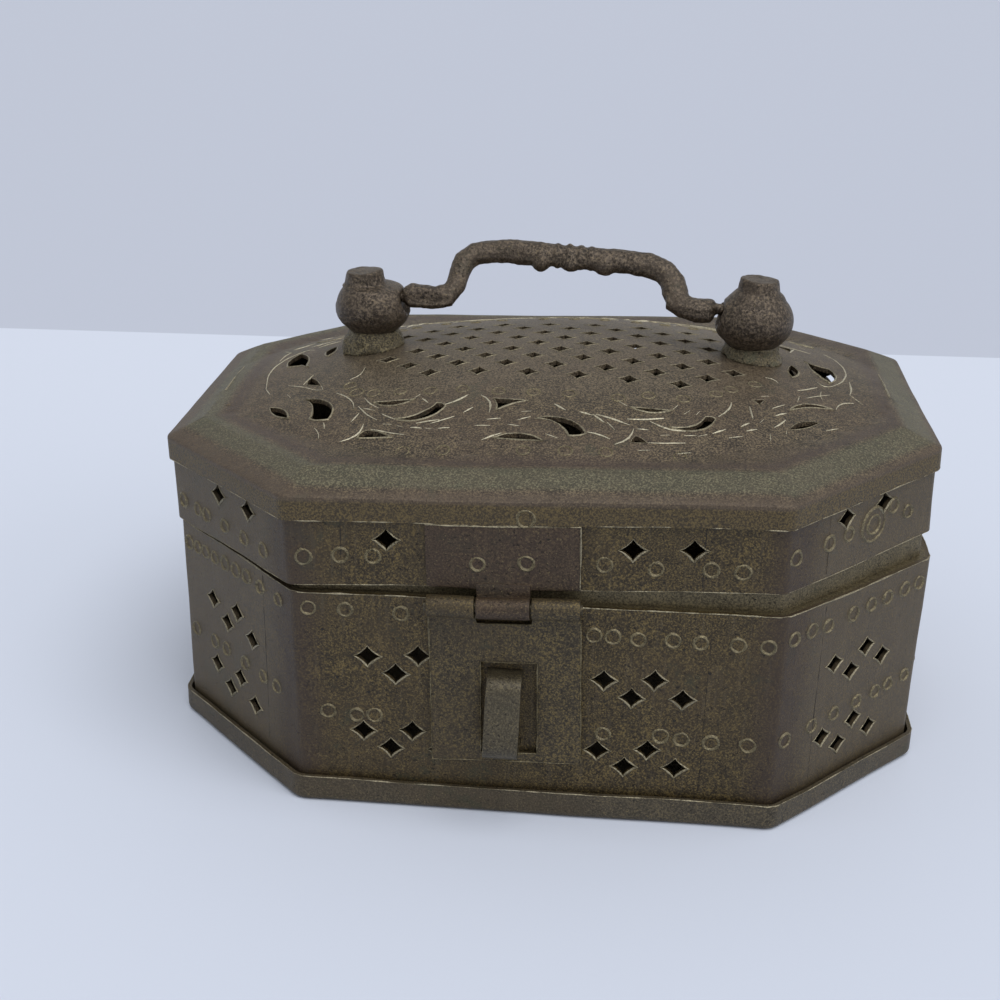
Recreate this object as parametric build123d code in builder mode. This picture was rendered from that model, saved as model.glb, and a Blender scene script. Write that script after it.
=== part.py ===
from build123d import *
import math
import os

os.makedirs("parts", exist_ok=True)

# A small eight-sided brass trinket box with a hinged, pierced and domed lid.
# Millimetres. The origin is the middle of the base's underside, +Z is up,
# X runs along the front and -Y is the front, where the hasp is.

# Plan of the box, outside the body sheet
body_length = 139.6
body_depth = 107.8
corner_cut = 28.0
corner_radius = 2.4
least_corner_radius = 0.4
sheet = 0.8

# Base tray that the body stands in
tray_sheet = 0.8
tray_rim_height = 5.0
tray_bend = 1.2
tray_gap = 0.6

# Body wall and the lip band that stands up inside it
body_height = 41.4
lip_sheet = 0.8
lip_foot_depth = 9.0
lip_step = 1.1
lip_rise = 7.2

# The lid sits askew: its right end is high and it has slid a little to the left
lid_tilt = 2.0
lid_slide = 0.7
lid_rest_gap = 0.35

# Lid heights are measured from the lower edge of the skirt
flange_bottom = 12.0
brim_height = 16.2
brim_round = 0.7
skirt_top_gap = 0.1
ridge_rise = 3.0
ridge_inset = 6.8
dome_height = 27.3
dome_radius_across = 127.5
dome_radius_along = 262.0

# Diamond holes with hollow sides
diamond_width = 4.7
diamond_height = 3.8
diamond_hollow = 0.25
upper_row_height = 27.1
lower_row_height = 13.1
skirt_hole_height = 8.9
skirt_hole_spread = 10.2

# Pierced field on the dome, marked out a little out of square
field_centre_x = 2.0
field_centre_y = -0.7
field_turn = -3.7
field_pitch = 9.4
field_row_step = 4.0
field_diamond_width = 4.4
field_diamond_height = 3.3
field_collar_clear = 2.4

# Scroll cut-outs round the field
scroll_centre_x = 0.5

# Posts for the handle, also a little out of square with the lid
handle_centre_x = 0.7
handle_centre_y = 2.2
handle_turn = -2.5
handle_tilt = 1.2
post_spacing = 74.2
post_seat_height = 24.7
collar_height = 3.3
collar_base_radius = 6.2
collar_top_radius = 4.9
foot_radius = 3.6
belly_radius = 7.4
belly_height = 9.6
belly_widest_height = 4.3
belly_bottom_radius = 4.6
neck_radius = 3.8
cap_base_radius = 4.1
cap_top_radius = 3.5
cap_height = 2.6
stem_radius = 1.6
stem_clearance = 0.1
washer_radius = 4.0
washer_thickness = 1.8
stem_head_radius = 2.3
stem_head_thickness = 1.0

# Bail handle, lying back on its pivots
pivot_height = 34.5
bail_lean = 45.0
bail_reach = 10.2
bail_crown = 0.4
bail_elbow = 22.0
bail_shoulder = 21.2
bail_shoulder_radius = 5.0
bail_width = 4.2
bail_thickness = 3.4
bail_round = 1.1
lug_height = 3.6
lug_neck_height = 2.6
lug_thickness = 3.8
lug_end_gap = 0.3
pivot_seat_depth = 5.8
pivot_seat_radius = 3.4
pivot_radius = 1.1
pivot_length = 3.0
pivot_clearance = 0.06
pivot_hole_spare = 0.4
bead_centre = 1.2
bead_spacing = 5.2
bead_radius = 2.5
ring_radius = 2.3

# Front hasp
hasp_centre = -5.1
hasp_width = 26.0
hasp_sheet = 0.8
hasp_leaf_bottom = 0.3
hasp_leaf_top = 11.9
hasp_knuckle_radius = 1.9
hasp_knuckle_width = 9.0
hasp_knuckle_gap = 0.3
hasp_side_gap = 0.3
hasp_axis_drop = 2.5
hasp_pin_radius = 0.9
hasp_pin_clearance = 0.06
flap_stand_off = 0.5
flap_top_drop = 6.0
flap_length = 27.0
slot_width = 9.8
slot_height = 17.9
slot_offset = 0.6
slot_bar = 1.7

# Staple that the hasp closes over
staple_centre = -5.3
staple_width = 6.0
staple_sheet = 1.0
staple_bottom = 14.0
staple_height = 14.7
staple_top_reach = 4.6
staple_reach = 8.2
staple_bend_radius = 2.6
staple_clinch = 5.0
staple_clinch_radius = 0.6
staple_slit_clearance = 0.1

# Tongues that carry the knuckles overlap their plates by this much
tongue_lap = 1.2

# Back hinges
hinge_spacing = 68.0
hinge_width = 16.0
hinge_sheet = 0.7
hinge_leaf_height = 9.0
hinge_knuckle_radius = 1.5
hinge_knuckle_width = 5.4
hinge_knuckle_gap = 0.25
hinge_side_gap = 0.25
hinge_axis_drop = 1.5
hinge_leaf_clear = 0.4
hinge_pin_radius = 0.7
hinge_pin_clearance = 0.06
pin_end_length = 0.4

# Sizes that follow from those above
half_length = body_length / 2
half_depth = body_depth / 2
tilt = math.radians(lid_tilt)
lid_edge_height = body_height + lid_rest_gap + (half_length + lid_slide) * math.sin(tilt)
flange_grow = sheet
ridge_grow = flange_grow - ridge_inset
ridge_slope = math.atan2(ridge_rise, ridge_inset)
hasp_axis_y = -(half_depth + hasp_knuckle_gap + hasp_knuckle_radius)
hinge_axis_y = half_depth + hinge_knuckle_gap + hinge_knuckle_radius
post_x = post_spacing / 2

# The lid's own frame, with its height counted from the lower edge of the skirt
lid_plane = Plane(
    origin=(-lid_slide, 0, lid_edge_height),
    x_dir=(math.cos(tilt), 0, math.sin(tilt)),
    z_dir=(-math.sin(tilt), 0, math.cos(tilt)),
)


def turned(plane, x, y, turn, slope=0):
    # A plane moved by x and y in its own surface, turned about its normal and sloped along its X
    return Plane(plane.location * Location((x, y, 0), (0, slope, turn)))


handle_plane = turned(lid_plane, handle_centre_x, handle_centre_y, handle_turn, handle_tilt)
field_plane = turned(lid_plane, field_centre_x, field_centre_y, field_turn)


def across(plane, x):
    # A section square to the plane's X: its first axis is the plane's Y, its second the height
    return Plane(origin=plane.from_local_coords((x, 0, 0)), x_dir=plane.y_dir, z_dir=plane.x_dir)


def octagon(grow, mode=Mode.ADD):
    # The box's outline with its corners rounded, moved outwards by grow
    length = half_length + grow
    depth = half_depth + grow
    cut = corner_cut + grow * (2 - math.sqrt(2))
    corners = [
        (length - cut, -depth),
        (length, cut - depth),
        (length, depth - cut),
        (length - cut, depth),
        (cut - length, depth),
        (-length, depth - cut),
        (-length, cut - depth),
        (cut - length, -depth),
    ]
    with BuildLine() as outline:
        FilletPolyline(*corners, radius=max(corner_radius + grow, least_corner_radius), close=True)
    make_face(outline.edges(), mode=mode)


def wall_plane(turn):
    # The plane of one wall, seen from outside: 0 is the front, 90 the right end, 180 the back
    angle = math.radians(turn - 90)
    normal = (math.cos(angle), math.sin(angle))
    if turn % 90:
        reach_x = half_length - corner_cut / 2
        reach_y = half_depth - corner_cut / 2
    else:
        reach_x = half_length
        reach_y = half_depth
    x = reach_x * round(normal[0])
    y = reach_y * round(normal[1])
    return Plane(origin=(x, y, 0), x_dir=(-normal[1], normal[0], 0), z_dir=(*normal, 0))


def diamond(x, y, width, height):
    # A rhombus about the point x, y, whose four sides curve inwards
    right = (x + width / 2, y)
    top = (x, y + height / 2)
    left = (x - width / 2, y)
    bottom = (x, y - height / 2)
    with BuildLine() as outline:
        SagittaArc(right, top, diamond_hollow)
        SagittaArc(top, left, diamond_hollow)
        SagittaArc(left, bottom, diamond_hollow)
        SagittaArc(bottom, right, diamond_hollow)
    make_face(outline.edges())


def curved_cut(outline):
    # A cut-out given as corners, each with the rise of the side that follows it
    with BuildLine() as loop:
        for start, end in zip(outline, outline[1:] + outline[:1]):
            if start[2] == 0:
                Line(start[:2], end[:2])
            else:
                SagittaArc(start[:2], end[:2], start[2])
    make_face(loop.edges())


# Holes stand in groups of four, which step up and down along the row
group_steps = [(-6.9, 1.5), (-2.0, -1.6), (1.9, 2.1), (7.0, -1.4)]

# The groups of each wall: the place along the wall and the height above or below the row
upper_groups = {
    0: [(-22.4, 0.9), (18.6, -0.8)],
    45: [(1.4, -0.4)],
    90: [(-13.0, 0.0), (13.0, 0.5)],
    135: [(0.0, 0.0)],
    180: [(-25.0, 0.4), (0.0, -0.5), (25.0, 0.0)],
    225: [(0.0, 0.3)],
    270: [(-13.0, -0.4), (13.0, 0.0)],
    315: [(-2.2, -0.2)],
}
lower_groups = {
    0: [(-23.4, 0.0), (18.0, -0.9)],
    45: [(0.0, -0.9)],
    90: [(-13.4, 0.3), (12.6, 0.0)],
    135: [(0.6, 0.0)],
    180: [(-24.4, 0.0), (0.5, 0.4), (24.6, -0.5)],
    225: [(-0.5, 0.0)],
    270: [(-12.7, 0.0), (13.5, 0.4)],
    315: [(-2.1, 0.2)],
}

# Pairs of holes in the skirt, by the middle of each pair and its height above or below the row
skirt_pairs = {
    0: [(-19.8, -0.4), (21.5, -1.4)],
    45: [(0.3, 0.9)],
    90: [(-13.0, 0.0), (13.0, 0.4)],
    135: [(0.0, -0.3)],
    180: [(-21.0, 0.0), (0.0, 0.3), (21.0, -0.4)],
    225: [(0.0, 0.0)],
    270: [(-13.0, 0.4), (13.0, 0.0)],
    315: [(2.2, 0.6)],
}

# Rows of the pierced field, as the number of diamonds in each from front to back
field_rows = [6, 7, 8, 7, 6, 7, 8, 7, 6]

# Cut-outs of the border scrolls on the front half of the dome
scroll_cuts = [
    [(-45.5, -20.5, 2.6), (-39.6, -29.0, 0.4), (-43.1, -27.9, -1.0)],
    [(-52.1, -21.2, 1.0), (-47.5, -26.6, 0.9)],
    [(-31.8, -25.0, 0), (-24.2, -25.3, 1.5)],
    [(-26.8, -31.2, -2.3), (-18.2, -28.8, -0.5), (-19.9, -27.5, 1.3)],
    [(-31.6, -34.2, -0.3), (-32.9, -36.2, 0), (-26.7, -36.9, -0.4)],
    [(-9.5, -26.6, 0), (-3.0, -27.3, -0.5), (-8.6, -30.3, -0.4)],
    [(-8.4, -38.3, 1.5), (0.0, -38.9, 0)],
    [(-1.6, -33.0, 2.3), (7.3, -36.6, 0.3), (4.3, -37.3, -1.5)],
    [(15.0, -27.7, 0), (22.2, -28.0, 1.2)],
    [(21.8, -33.1, -2.2), (29.9, -29.4, -0.4), (28.0, -29.2, 1.4)],
    [(16.0, -36.5, -0.2), (15.2, -38.3, 0), (17.8, -38.1, -0.2)],
    [(36.7, -21.4, 0), (39.1, -20.6, -0.2), (38.0, -22.8, -0.2)],
    [(43.4, -22.9, 2.0), (51.4, -19.3, -0.9)],
    [(43.0, -29.4, 1.1), (48.4, -25.1, 0.5)],
    [(-52.1, 7.3, -1.1), (-52.9, -1.4, 0), (-49.0, -2.2, -0.9)],
    [(-46.3, -10.6, -0.2), (-46.4, -13.7, 0), (-43.6, -15.2, -0.3)],
    [(45.3, -1.3, 1.2), (45.0, -8.2, 0.6)],
    [(48.3, 3.6, 0.8), (50.9, -1.6, 0.1)],
]


def skirt_plane(turn):
    # The skirt is the body's outline carried on the tilted lid
    flat = wall_plane(turn)
    return Plane(lid_plane.location * flat.location)


# Base tray: a flat plate with its rim turned up round the foot of the body
tray_grow = tray_gap + tray_sheet
with BuildPart() as base_tray:
    with BuildSketch(Plane.XY):
        octagon(tray_grow)
    extrude(amount=tray_rim_height)
    fillet(base_tray.faces().sort_by(Axis.Z)[0].edges(), tray_bend)
    with BuildSketch(Plane.XY.offset(tray_sheet)):
        octagon(tray_gap)
    extrude(amount=tray_rim_height, mode=Mode.SUBTRACT)
base_tray.part.label = "base_tray"
export_step(base_tray.part, "parts/base_tray.step")

# Body wall with its diamond holes and the two slits for the staple
slit_width = staple_width + 2 * staple_slit_clearance
slit_height = staple_sheet + 2 * staple_slit_clearance
staple_leg_low = staple_bottom + staple_sheet / 2
staple_leg_high = staple_bottom + staple_height - staple_sheet / 2
with BuildPart() as body_wall:
    with BuildSketch(Plane.XY.offset(tray_sheet)):
        octagon(0)
        octagon(-sheet, mode=Mode.SUBTRACT)
    extrude(amount=body_height - tray_sheet)
    for row_height, wall_groups in ((lower_row_height, lower_groups), (upper_row_height, upper_groups)):
        for turn, groups in wall_groups.items():
            with BuildSketch(wall_plane(turn)):
                for x, z in groups:
                    for step_x, step_z in group_steps:
                        diamond(x + step_x, row_height + z + step_z, diamond_width, diamond_height)
            extrude(amount=-2 * sheet, mode=Mode.SUBTRACT)
    with BuildSketch(wall_plane(0)):
        with Locations((staple_centre, staple_leg_low), (staple_centre, staple_leg_high)):
            Rectangle(slit_width, slit_height)
    extrude(amount=-2 * sheet, mode=Mode.SUBTRACT)
body_wall.part.label = "body_wall"
export_step(body_wall.part, "parts/body_wall.step")

# Lip band: soldered inside the wall, then stepped in so that the skirt passes over it
foot_grow = -sheet
lip_grow = foot_grow - lip_step
step_bottom = body_height - lip_sheet
with BuildPart() as body_lip:
    with BuildSketch(Plane.XY.offset(body_height - lip_foot_depth)):
        octagon(foot_grow)
        octagon(foot_grow - lip_sheet, mode=Mode.SUBTRACT)
    extrude(amount=lip_foot_depth)
    with BuildSketch(Plane.XY.offset(step_bottom)):
        octagon(foot_grow)
        octagon(lip_grow - lip_sheet, mode=Mode.SUBTRACT)
    extrude(amount=lip_sheet)
    with BuildSketch(Plane.XY.offset(step_bottom)):
        octagon(lip_grow)
        octagon(lip_grow - lip_sheet, mode=Mode.SUBTRACT)
    extrude(amount=lip_sheet + lip_rise)
body_lip.part.label = "body_lip"
export_step(body_lip.part, "parts/body_lip.step")


def dome_block(grow, top, thinner):
    # The part of a barrel-shaped dome that lies over the outline moved by grow
    radius_along = dome_radius_along - thinner
    radius_across = dome_radius_across - thinner
    wide = half_length
    fall = radius_along - math.sqrt(radius_along**2 - wide**2)
    with BuildPart() as block:
        with BuildSketch(Plane(lid_plane.origin, x_dir=lid_plane.x_dir, z_dir=-lid_plane.y_dir)):
            with BuildLine():
                ThreePointArc((-wide, top - fall), (0, top), (wide, top - fall))
                Line((wide, top - fall), (wide, top - radius_across))
                Line((wide, top - radius_across), (-wide, top - radius_across))
                Line((-wide, top - radius_across), (-wide, top - fall))
            make_face()
        centre = lid_plane.from_local_coords((0, 0, top - radius_across))
        revolve(axis=Axis(centre, lid_plane.x_dir), revolution_arc=360)
        with BuildSketch(lid_plane.offset(flange_bottom)):
            octagon(grow)
        extrude(amount=top, mode=Mode.INTERSECT)
    return block.part


def lid_form(rim_grow, rim_bottom, rim_top, inner_grow, ridge_top, dome_top, thinner):
    # Flange block, sloping border and dome as one solid
    with BuildPart() as form:
        with BuildSketch(lid_plane.offset(rim_bottom)):
            octagon(rim_grow)
        extrude(amount=rim_top - rim_bottom)
        with BuildSketch(lid_plane.offset(rim_top)):
            octagon(rim_grow)
        with BuildSketch(lid_plane.offset(ridge_top)):
            octagon(inner_grow)
        loft(ruled=True)
        add(dome_block(inner_grow, dome_top, thinner))
    return form.part


ridge_height = brim_height + ridge_rise
lid_outside = lid_form(flange_grow, flange_bottom, brim_height, ridge_grow, ridge_height, dome_height, 0)
under_brim = brim_height - sheet / math.cos(ridge_slope) + flange_grow * math.tan(ridge_slope)
lid_inside = lid_form(
    0,
    flange_bottom - sheet,
    under_brim,
    ridge_grow - sheet,
    ridge_height - sheet,
    dome_height - sheet,
    sheet,
)

# Lid top: flange, border and dome raised from one sheet, then pierced
with BuildPart() as lid_top:
    add(lid_outside)
    brim_edges = lid_top.edges().filter_by(
        lambda edge: abs(lid_plane.to_local_coords(edge.center()).Z - brim_height) < 0.01
    )
    fillet(brim_edges, brim_round)
    add(lid_inside, mode=Mode.SUBTRACT)
    with BuildSketch(field_plane.offset(flange_bottom)):
        middle_row = (len(field_rows) - 1) / 2
        for row, count in enumerate(field_rows):
            y = (row - middle_row) * field_row_step
            for i in range(count):
                x = (i - (count - 1) / 2) * field_pitch
                if math.hypot(abs(x) - post_x, y) > collar_base_radius + field_collar_clear:
                    diamond(x, y, field_diamond_width, field_diamond_height)
    extrude(amount=dome_height, mode=Mode.SUBTRACT)
    with BuildSketch(turned(lid_plane, scroll_centre_x, 0, 0).offset(flange_bottom)):
        for outline in scroll_cuts:
            curved_cut(outline)
    extrude(amount=dome_height, mode=Mode.SUBTRACT)
    with BuildSketch(turned(lid_plane, scroll_centre_x, 0, 180).offset(flange_bottom)):
        for outline in scroll_cuts:
            curved_cut(outline)
    extrude(amount=dome_height, mode=Mode.SUBTRACT)
    with BuildSketch(handle_plane.offset(flange_bottom)):
        with Locations((-post_x, 0), (post_x, 0)):
            Circle(stem_radius + stem_clearance)
    extrude(amount=dome_height, mode=Mode.SUBTRACT)
lid_top.part.label = "lid_top"
export_step(lid_top.part, "parts/lid_top.step")

# Skirt: the pierced band below the flange, reaching up inside it
skirt_top = under_brim - skirt_top_gap
with BuildPart() as lid_skirt:
    with BuildSketch(lid_plane):
        octagon(0)
        octagon(-sheet, mode=Mode.SUBTRACT)
    extrude(amount=skirt_top)
    for turn, pairs in skirt_pairs.items():
        with BuildSketch(skirt_plane(turn)):
            for x, z in pairs:
                for half in (-0.5, 0.5):
                    hole_x = x + half * skirt_hole_spread
                    diamond(hole_x, skirt_hole_height + z, diamond_width, diamond_height)
        extrude(amount=-2 * sheet, mode=Mode.SUBTRACT)
lid_skirt.part.label = "lid_skirt"
export_step(lid_skirt.part, "parts/lid_skirt.step")

# Posts: turned cast knobs on soldered collars, each riveted through the dome over a washer
belly_bottom = post_seat_height + collar_height
belly_top = belly_bottom + belly_height
belly_middle = belly_bottom + belly_widest_height
post_top = belly_top + cap_height
under_dome = post_seat_height - sheet
washer_bottom = under_dome - washer_thickness
stem_bottom = washer_bottom - stem_head_thickness
seat_face = post_x - pivot_seat_depth


def upright(plane, x):
    # A section through the plane's own normal at x: its first axis is the plane's X, its second the height
    return Plane(origin=plane.from_local_coords((x, 0, 0)), x_dir=plane.x_dir, z_dir=-plane.y_dir)


def normal_axis(plane, x):
    return Axis(plane.from_local_coords((x, 0, 0)), plane.z_dir)


for side, side_name in ((-1, "left"), (1, "right")):
    with BuildPart() as post:
        with BuildSketch(upright(handle_plane, side * post_x)):
            with BuildLine():
                Line((0, post_top), (cap_top_radius, post_top))
                Line((cap_top_radius, post_top), (cap_base_radius, belly_top))
                Line((cap_base_radius, belly_top), (neck_radius, belly_top))
                TangentArc((belly_radius, belly_middle), (neck_radius, belly_top), tangent=(0, 1))
                TangentArc((belly_radius, belly_middle), (belly_bottom_radius, belly_bottom), tangent=(0, -1))
                Line((belly_bottom_radius, belly_bottom), (foot_radius, belly_bottom))
                Line((foot_radius, belly_bottom), (foot_radius, ridge_height))
                Line((foot_radius, ridge_height), (0, ridge_height))
                Line((0, ridge_height), (0, post_top))
            make_face()
        revolve(axis=normal_axis(handle_plane, side * post_x))
        add(lid_outside, mode=Mode.SUBTRACT)
        with BuildSketch(handle_plane.offset(stem_bottom)):
            with Locations((side * post_x, 0)):
                Circle(stem_radius)
        extrude(amount=belly_bottom - stem_bottom)
        with BuildSketch(handle_plane.offset(stem_bottom)):
            with Locations((side * post_x, 0)):
                Circle(stem_head_radius)
        extrude(amount=stem_head_thickness)
        with BuildSketch(across(handle_plane, side * seat_face)):
            with Locations((0, pivot_height)):
                Circle(pivot_seat_radius)
        extrude(amount=-side * belly_radius, mode=Mode.SUBTRACT)
        with BuildSketch(across(handle_plane, side * seat_face)):
            with Locations((0, pivot_height)):
                Circle(pivot_radius + pivot_clearance)
        extrude(amount=side * (pivot_length + pivot_hole_spare), mode=Mode.SUBTRACT)
    post.part.label = side_name + "_post"
    export_step(post.part, "parts/" + side_name + "_post.step")

    with BuildPart() as collar:
        with BuildSketch(upright(handle_plane, side * post_x)):
            with BuildLine():
                Polyline(
                    (foot_radius, belly_bottom),
                    (collar_top_radius, belly_bottom),
                    (collar_base_radius, post_seat_height),
                    (collar_base_radius, ridge_height),
                    (foot_radius, ridge_height),
                    (foot_radius, belly_bottom),
                )
            make_face()
        revolve(axis=normal_axis(handle_plane, side * post_x))
        add(lid_outside, mode=Mode.SUBTRACT)
    collar.part.label = side_name + "_post_collar"
    export_step(collar.part, "parts/" + side_name + "_post_collar.step")

    with BuildPart() as washer:
        with BuildSketch(handle_plane.offset(washer_bottom)):
            with Locations((side * post_x, 0)):
                Circle(washer_radius)
                Circle(stem_radius + stem_clearance, mode=Mode.SUBTRACT)
        extrude(amount=post_seat_height - washer_bottom)
        add(lid_inside, mode=Mode.INTERSECT)
    washer.part.label = side_name + "_post_washer"
    export_step(washer.part, "parts/" + side_name + "_post_washer.step")

# Bail handle: a cast bar with a shallow D section, drawn in the plane it leans back in
pivot_centre = handle_plane.from_local_coords((0, 0, pivot_height))
lean = math.radians(bail_lean)
bail_up = handle_plane.z_dir * math.cos(lean) + handle_plane.y_dir * math.sin(lean)
bail_plane = Plane(origin=pivot_centre, x_dir=handle_plane.x_dir, z_dir=handle_plane.x_dir.cross(bail_up))
lug_end = seat_face - lug_end_gap
with BuildPart() as bail_handle:
    with BuildSketch(bail_plane.offset(-bail_thickness / 2)):
        with BuildLine():
            FilletPolyline(
                (-bail_elbow, 0),
                (-bail_shoulder, bail_reach - bail_crown),
                (0, bail_reach + bail_crown),
                (bail_shoulder, bail_reach - bail_crown),
                (bail_elbow, 0),
                radius=bail_shoulder_radius,
            )
        trace(line_width=bail_width)
    extrude(amount=bail_thickness)
    upper_face = bail_handle.faces().sort_by(Axis(pivot_centre, bail_plane.z_dir))[-1]
    fillet(upper_face.edges(), bail_round)
    for side in (-1, 1):
        with BuildSketch(bail_plane.offset(-lug_thickness / 2)):
            with BuildLine():
                Polyline(
                    (side * lug_end, -lug_height / 2),
                    (side * lug_end, lug_height / 2),
                    (side * (bail_elbow - bail_width / 2), lug_neck_height / 2),
                    (side * (bail_elbow - bail_width / 2), -lug_neck_height / 2),
                    (side * lug_end, -lug_height / 2),
                )
            make_face()
        extrude(amount=lug_thickness)
        with BuildSketch(across(handle_plane, side * lug_end)):
            with Locations((0, pivot_height)):
                Circle(pivot_radius)
        extrude(amount=side * (lug_end_gap + pivot_length))
    for step, radius in ((-1, bead_radius), (0, ring_radius), (1, bead_radius)):
        bead = (bead_centre + step * bead_spacing, bail_reach + bail_crown, 0)
        with Locations(Plane(bail_plane.location * Location(bead))):
            Sphere(radius)
bail_handle.part.label = "bail_handle"
export_step(bail_handle.part, "parts/bail_handle.step")

# Hasp leaf: a plate on the front of the skirt whose middle tongue curls into a knuckle
hasp_left = hasp_centre - hasp_width / 2
hasp_bore_radius = hasp_pin_radius + hasp_pin_clearance
hasp_tongue_back = hasp_axis_y + hasp_knuckle_radius
with BuildPart() as hasp_lid_leaf:
    with BuildSketch(across(lid_plane, hasp_left)):
        with Locations((-half_depth, hasp_leaf_bottom)):
            Rectangle(hasp_sheet, hasp_leaf_top - hasp_leaf_bottom, align=(Align.MAX, Align.MIN))
    extrude(amount=hasp_width)
    with BuildSketch(across(lid_plane, hasp_centre - hasp_knuckle_width / 2)):
        with Locations((hasp_axis_y, -hasp_axis_drop)):
            Circle(hasp_knuckle_radius)
        with Locations((hasp_tongue_back, -hasp_axis_drop)):
            Rectangle(hasp_sheet, hasp_axis_drop + hasp_leaf_bottom + tongue_lap, align=(Align.MAX, Align.MIN))
        with Locations((-half_depth, hasp_leaf_bottom)):
            Rectangle(-half_depth - hasp_tongue_back + hasp_sheet, tongue_lap, align=(Align.MAX, Align.MIN))
        with Locations((hasp_axis_y, -hasp_axis_drop)):
            Circle(hasp_pin_radius, mode=Mode.SUBTRACT)
    extrude(amount=hasp_knuckle_width)
hasp_lid_leaf.part.label = "hasp_lid_leaf"
export_step(hasp_lid_leaf.part, "parts/hasp_lid_leaf.step")

# Hasp pin, tight in the leaf's knuckle and free in the flap's
with BuildPart() as hasp_pin:
    with BuildSketch(across(lid_plane, hasp_left - pin_end_length)):
        with Locations((hasp_axis_y, -hasp_axis_drop)):
            Circle(hasp_pin_radius)
    extrude(amount=hasp_width + 2 * pin_end_length)
hasp_pin.part.label = "hasp_pin"
export_step(hasp_pin.part, "parts/hasp_pin.step")

# Hasp flap: hangs from two knuckles and closes over the staple with its slot
flap_back = -(half_depth + flap_stand_off)
flap_bottom = -(flap_top_drop + flap_length)
with BuildPart() as hasp_flap:
    with BuildSketch(across(lid_plane, hasp_left)):
        with Locations((flap_back, flap_bottom)):
            Rectangle(hasp_sheet, -flap_bottom - hasp_axis_drop, align=(Align.MAX, Align.MIN))
        with Locations((hasp_axis_y, -hasp_axis_drop)):
            Circle(hasp_knuckle_radius)
    extrude(amount=hasp_width)
    with BuildSketch(upright(lid_plane, hasp_centre).offset(half_depth)):
        with Locations((0, -flap_top_drop)):
            Rectangle(
                hasp_knuckle_width + 2 * hasp_side_gap,
                flap_top_drop + hasp_knuckle_radius,
                align=(Align.CENTER, Align.MIN),
            )
        with Locations((slot_offset, flap_bottom + slot_bar)):
            Rectangle(slot_width, slot_height, align=(Align.CENTER, Align.MIN))
    extrude(amount=-2 * (hasp_axis_y + half_depth), mode=Mode.SUBTRACT)
    with BuildSketch(across(lid_plane, hasp_left)):
        with Locations((hasp_axis_y, -hasp_axis_drop)):
            Circle(hasp_bore_radius)
    extrude(amount=hasp_width, mode=Mode.SUBTRACT)
hasp_flap.part.label = "hasp_flap"
export_step(hasp_flap.part, "parts/hasp_flap.step")

# Staple: a strip bent outwards, its two legs passed through the wall and clinched behind it
clinch_line = -sheet - staple_sheet / 2
staple_side = Plane(
    origin=(staple_centre + staple_width / 2, -half_depth, 0),
    x_dir=(0, -1, 0),
    z_dir=(-1, 0, 0),
)
with BuildPart() as hasp_staple:
    with BuildSketch(staple_side):
        with BuildLine():
            FilletPolyline(
                (clinch_line, staple_leg_low + staple_clinch),
                (clinch_line, staple_leg_low),
                (staple_reach - staple_sheet / 2, staple_leg_low),
                (staple_top_reach - staple_sheet / 2, staple_leg_high),
                (clinch_line, staple_leg_high),
                (clinch_line, staple_leg_high - staple_clinch),
                radius=[staple_clinch_radius, staple_bend_radius, staple_bend_radius, staple_clinch_radius],
            )
        trace(line_width=staple_sheet)
    extrude(amount=staple_width)
hasp_staple.part.label = "hasp_staple"
export_step(hasp_staple.part, "parts/hasp_staple.step")

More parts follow.
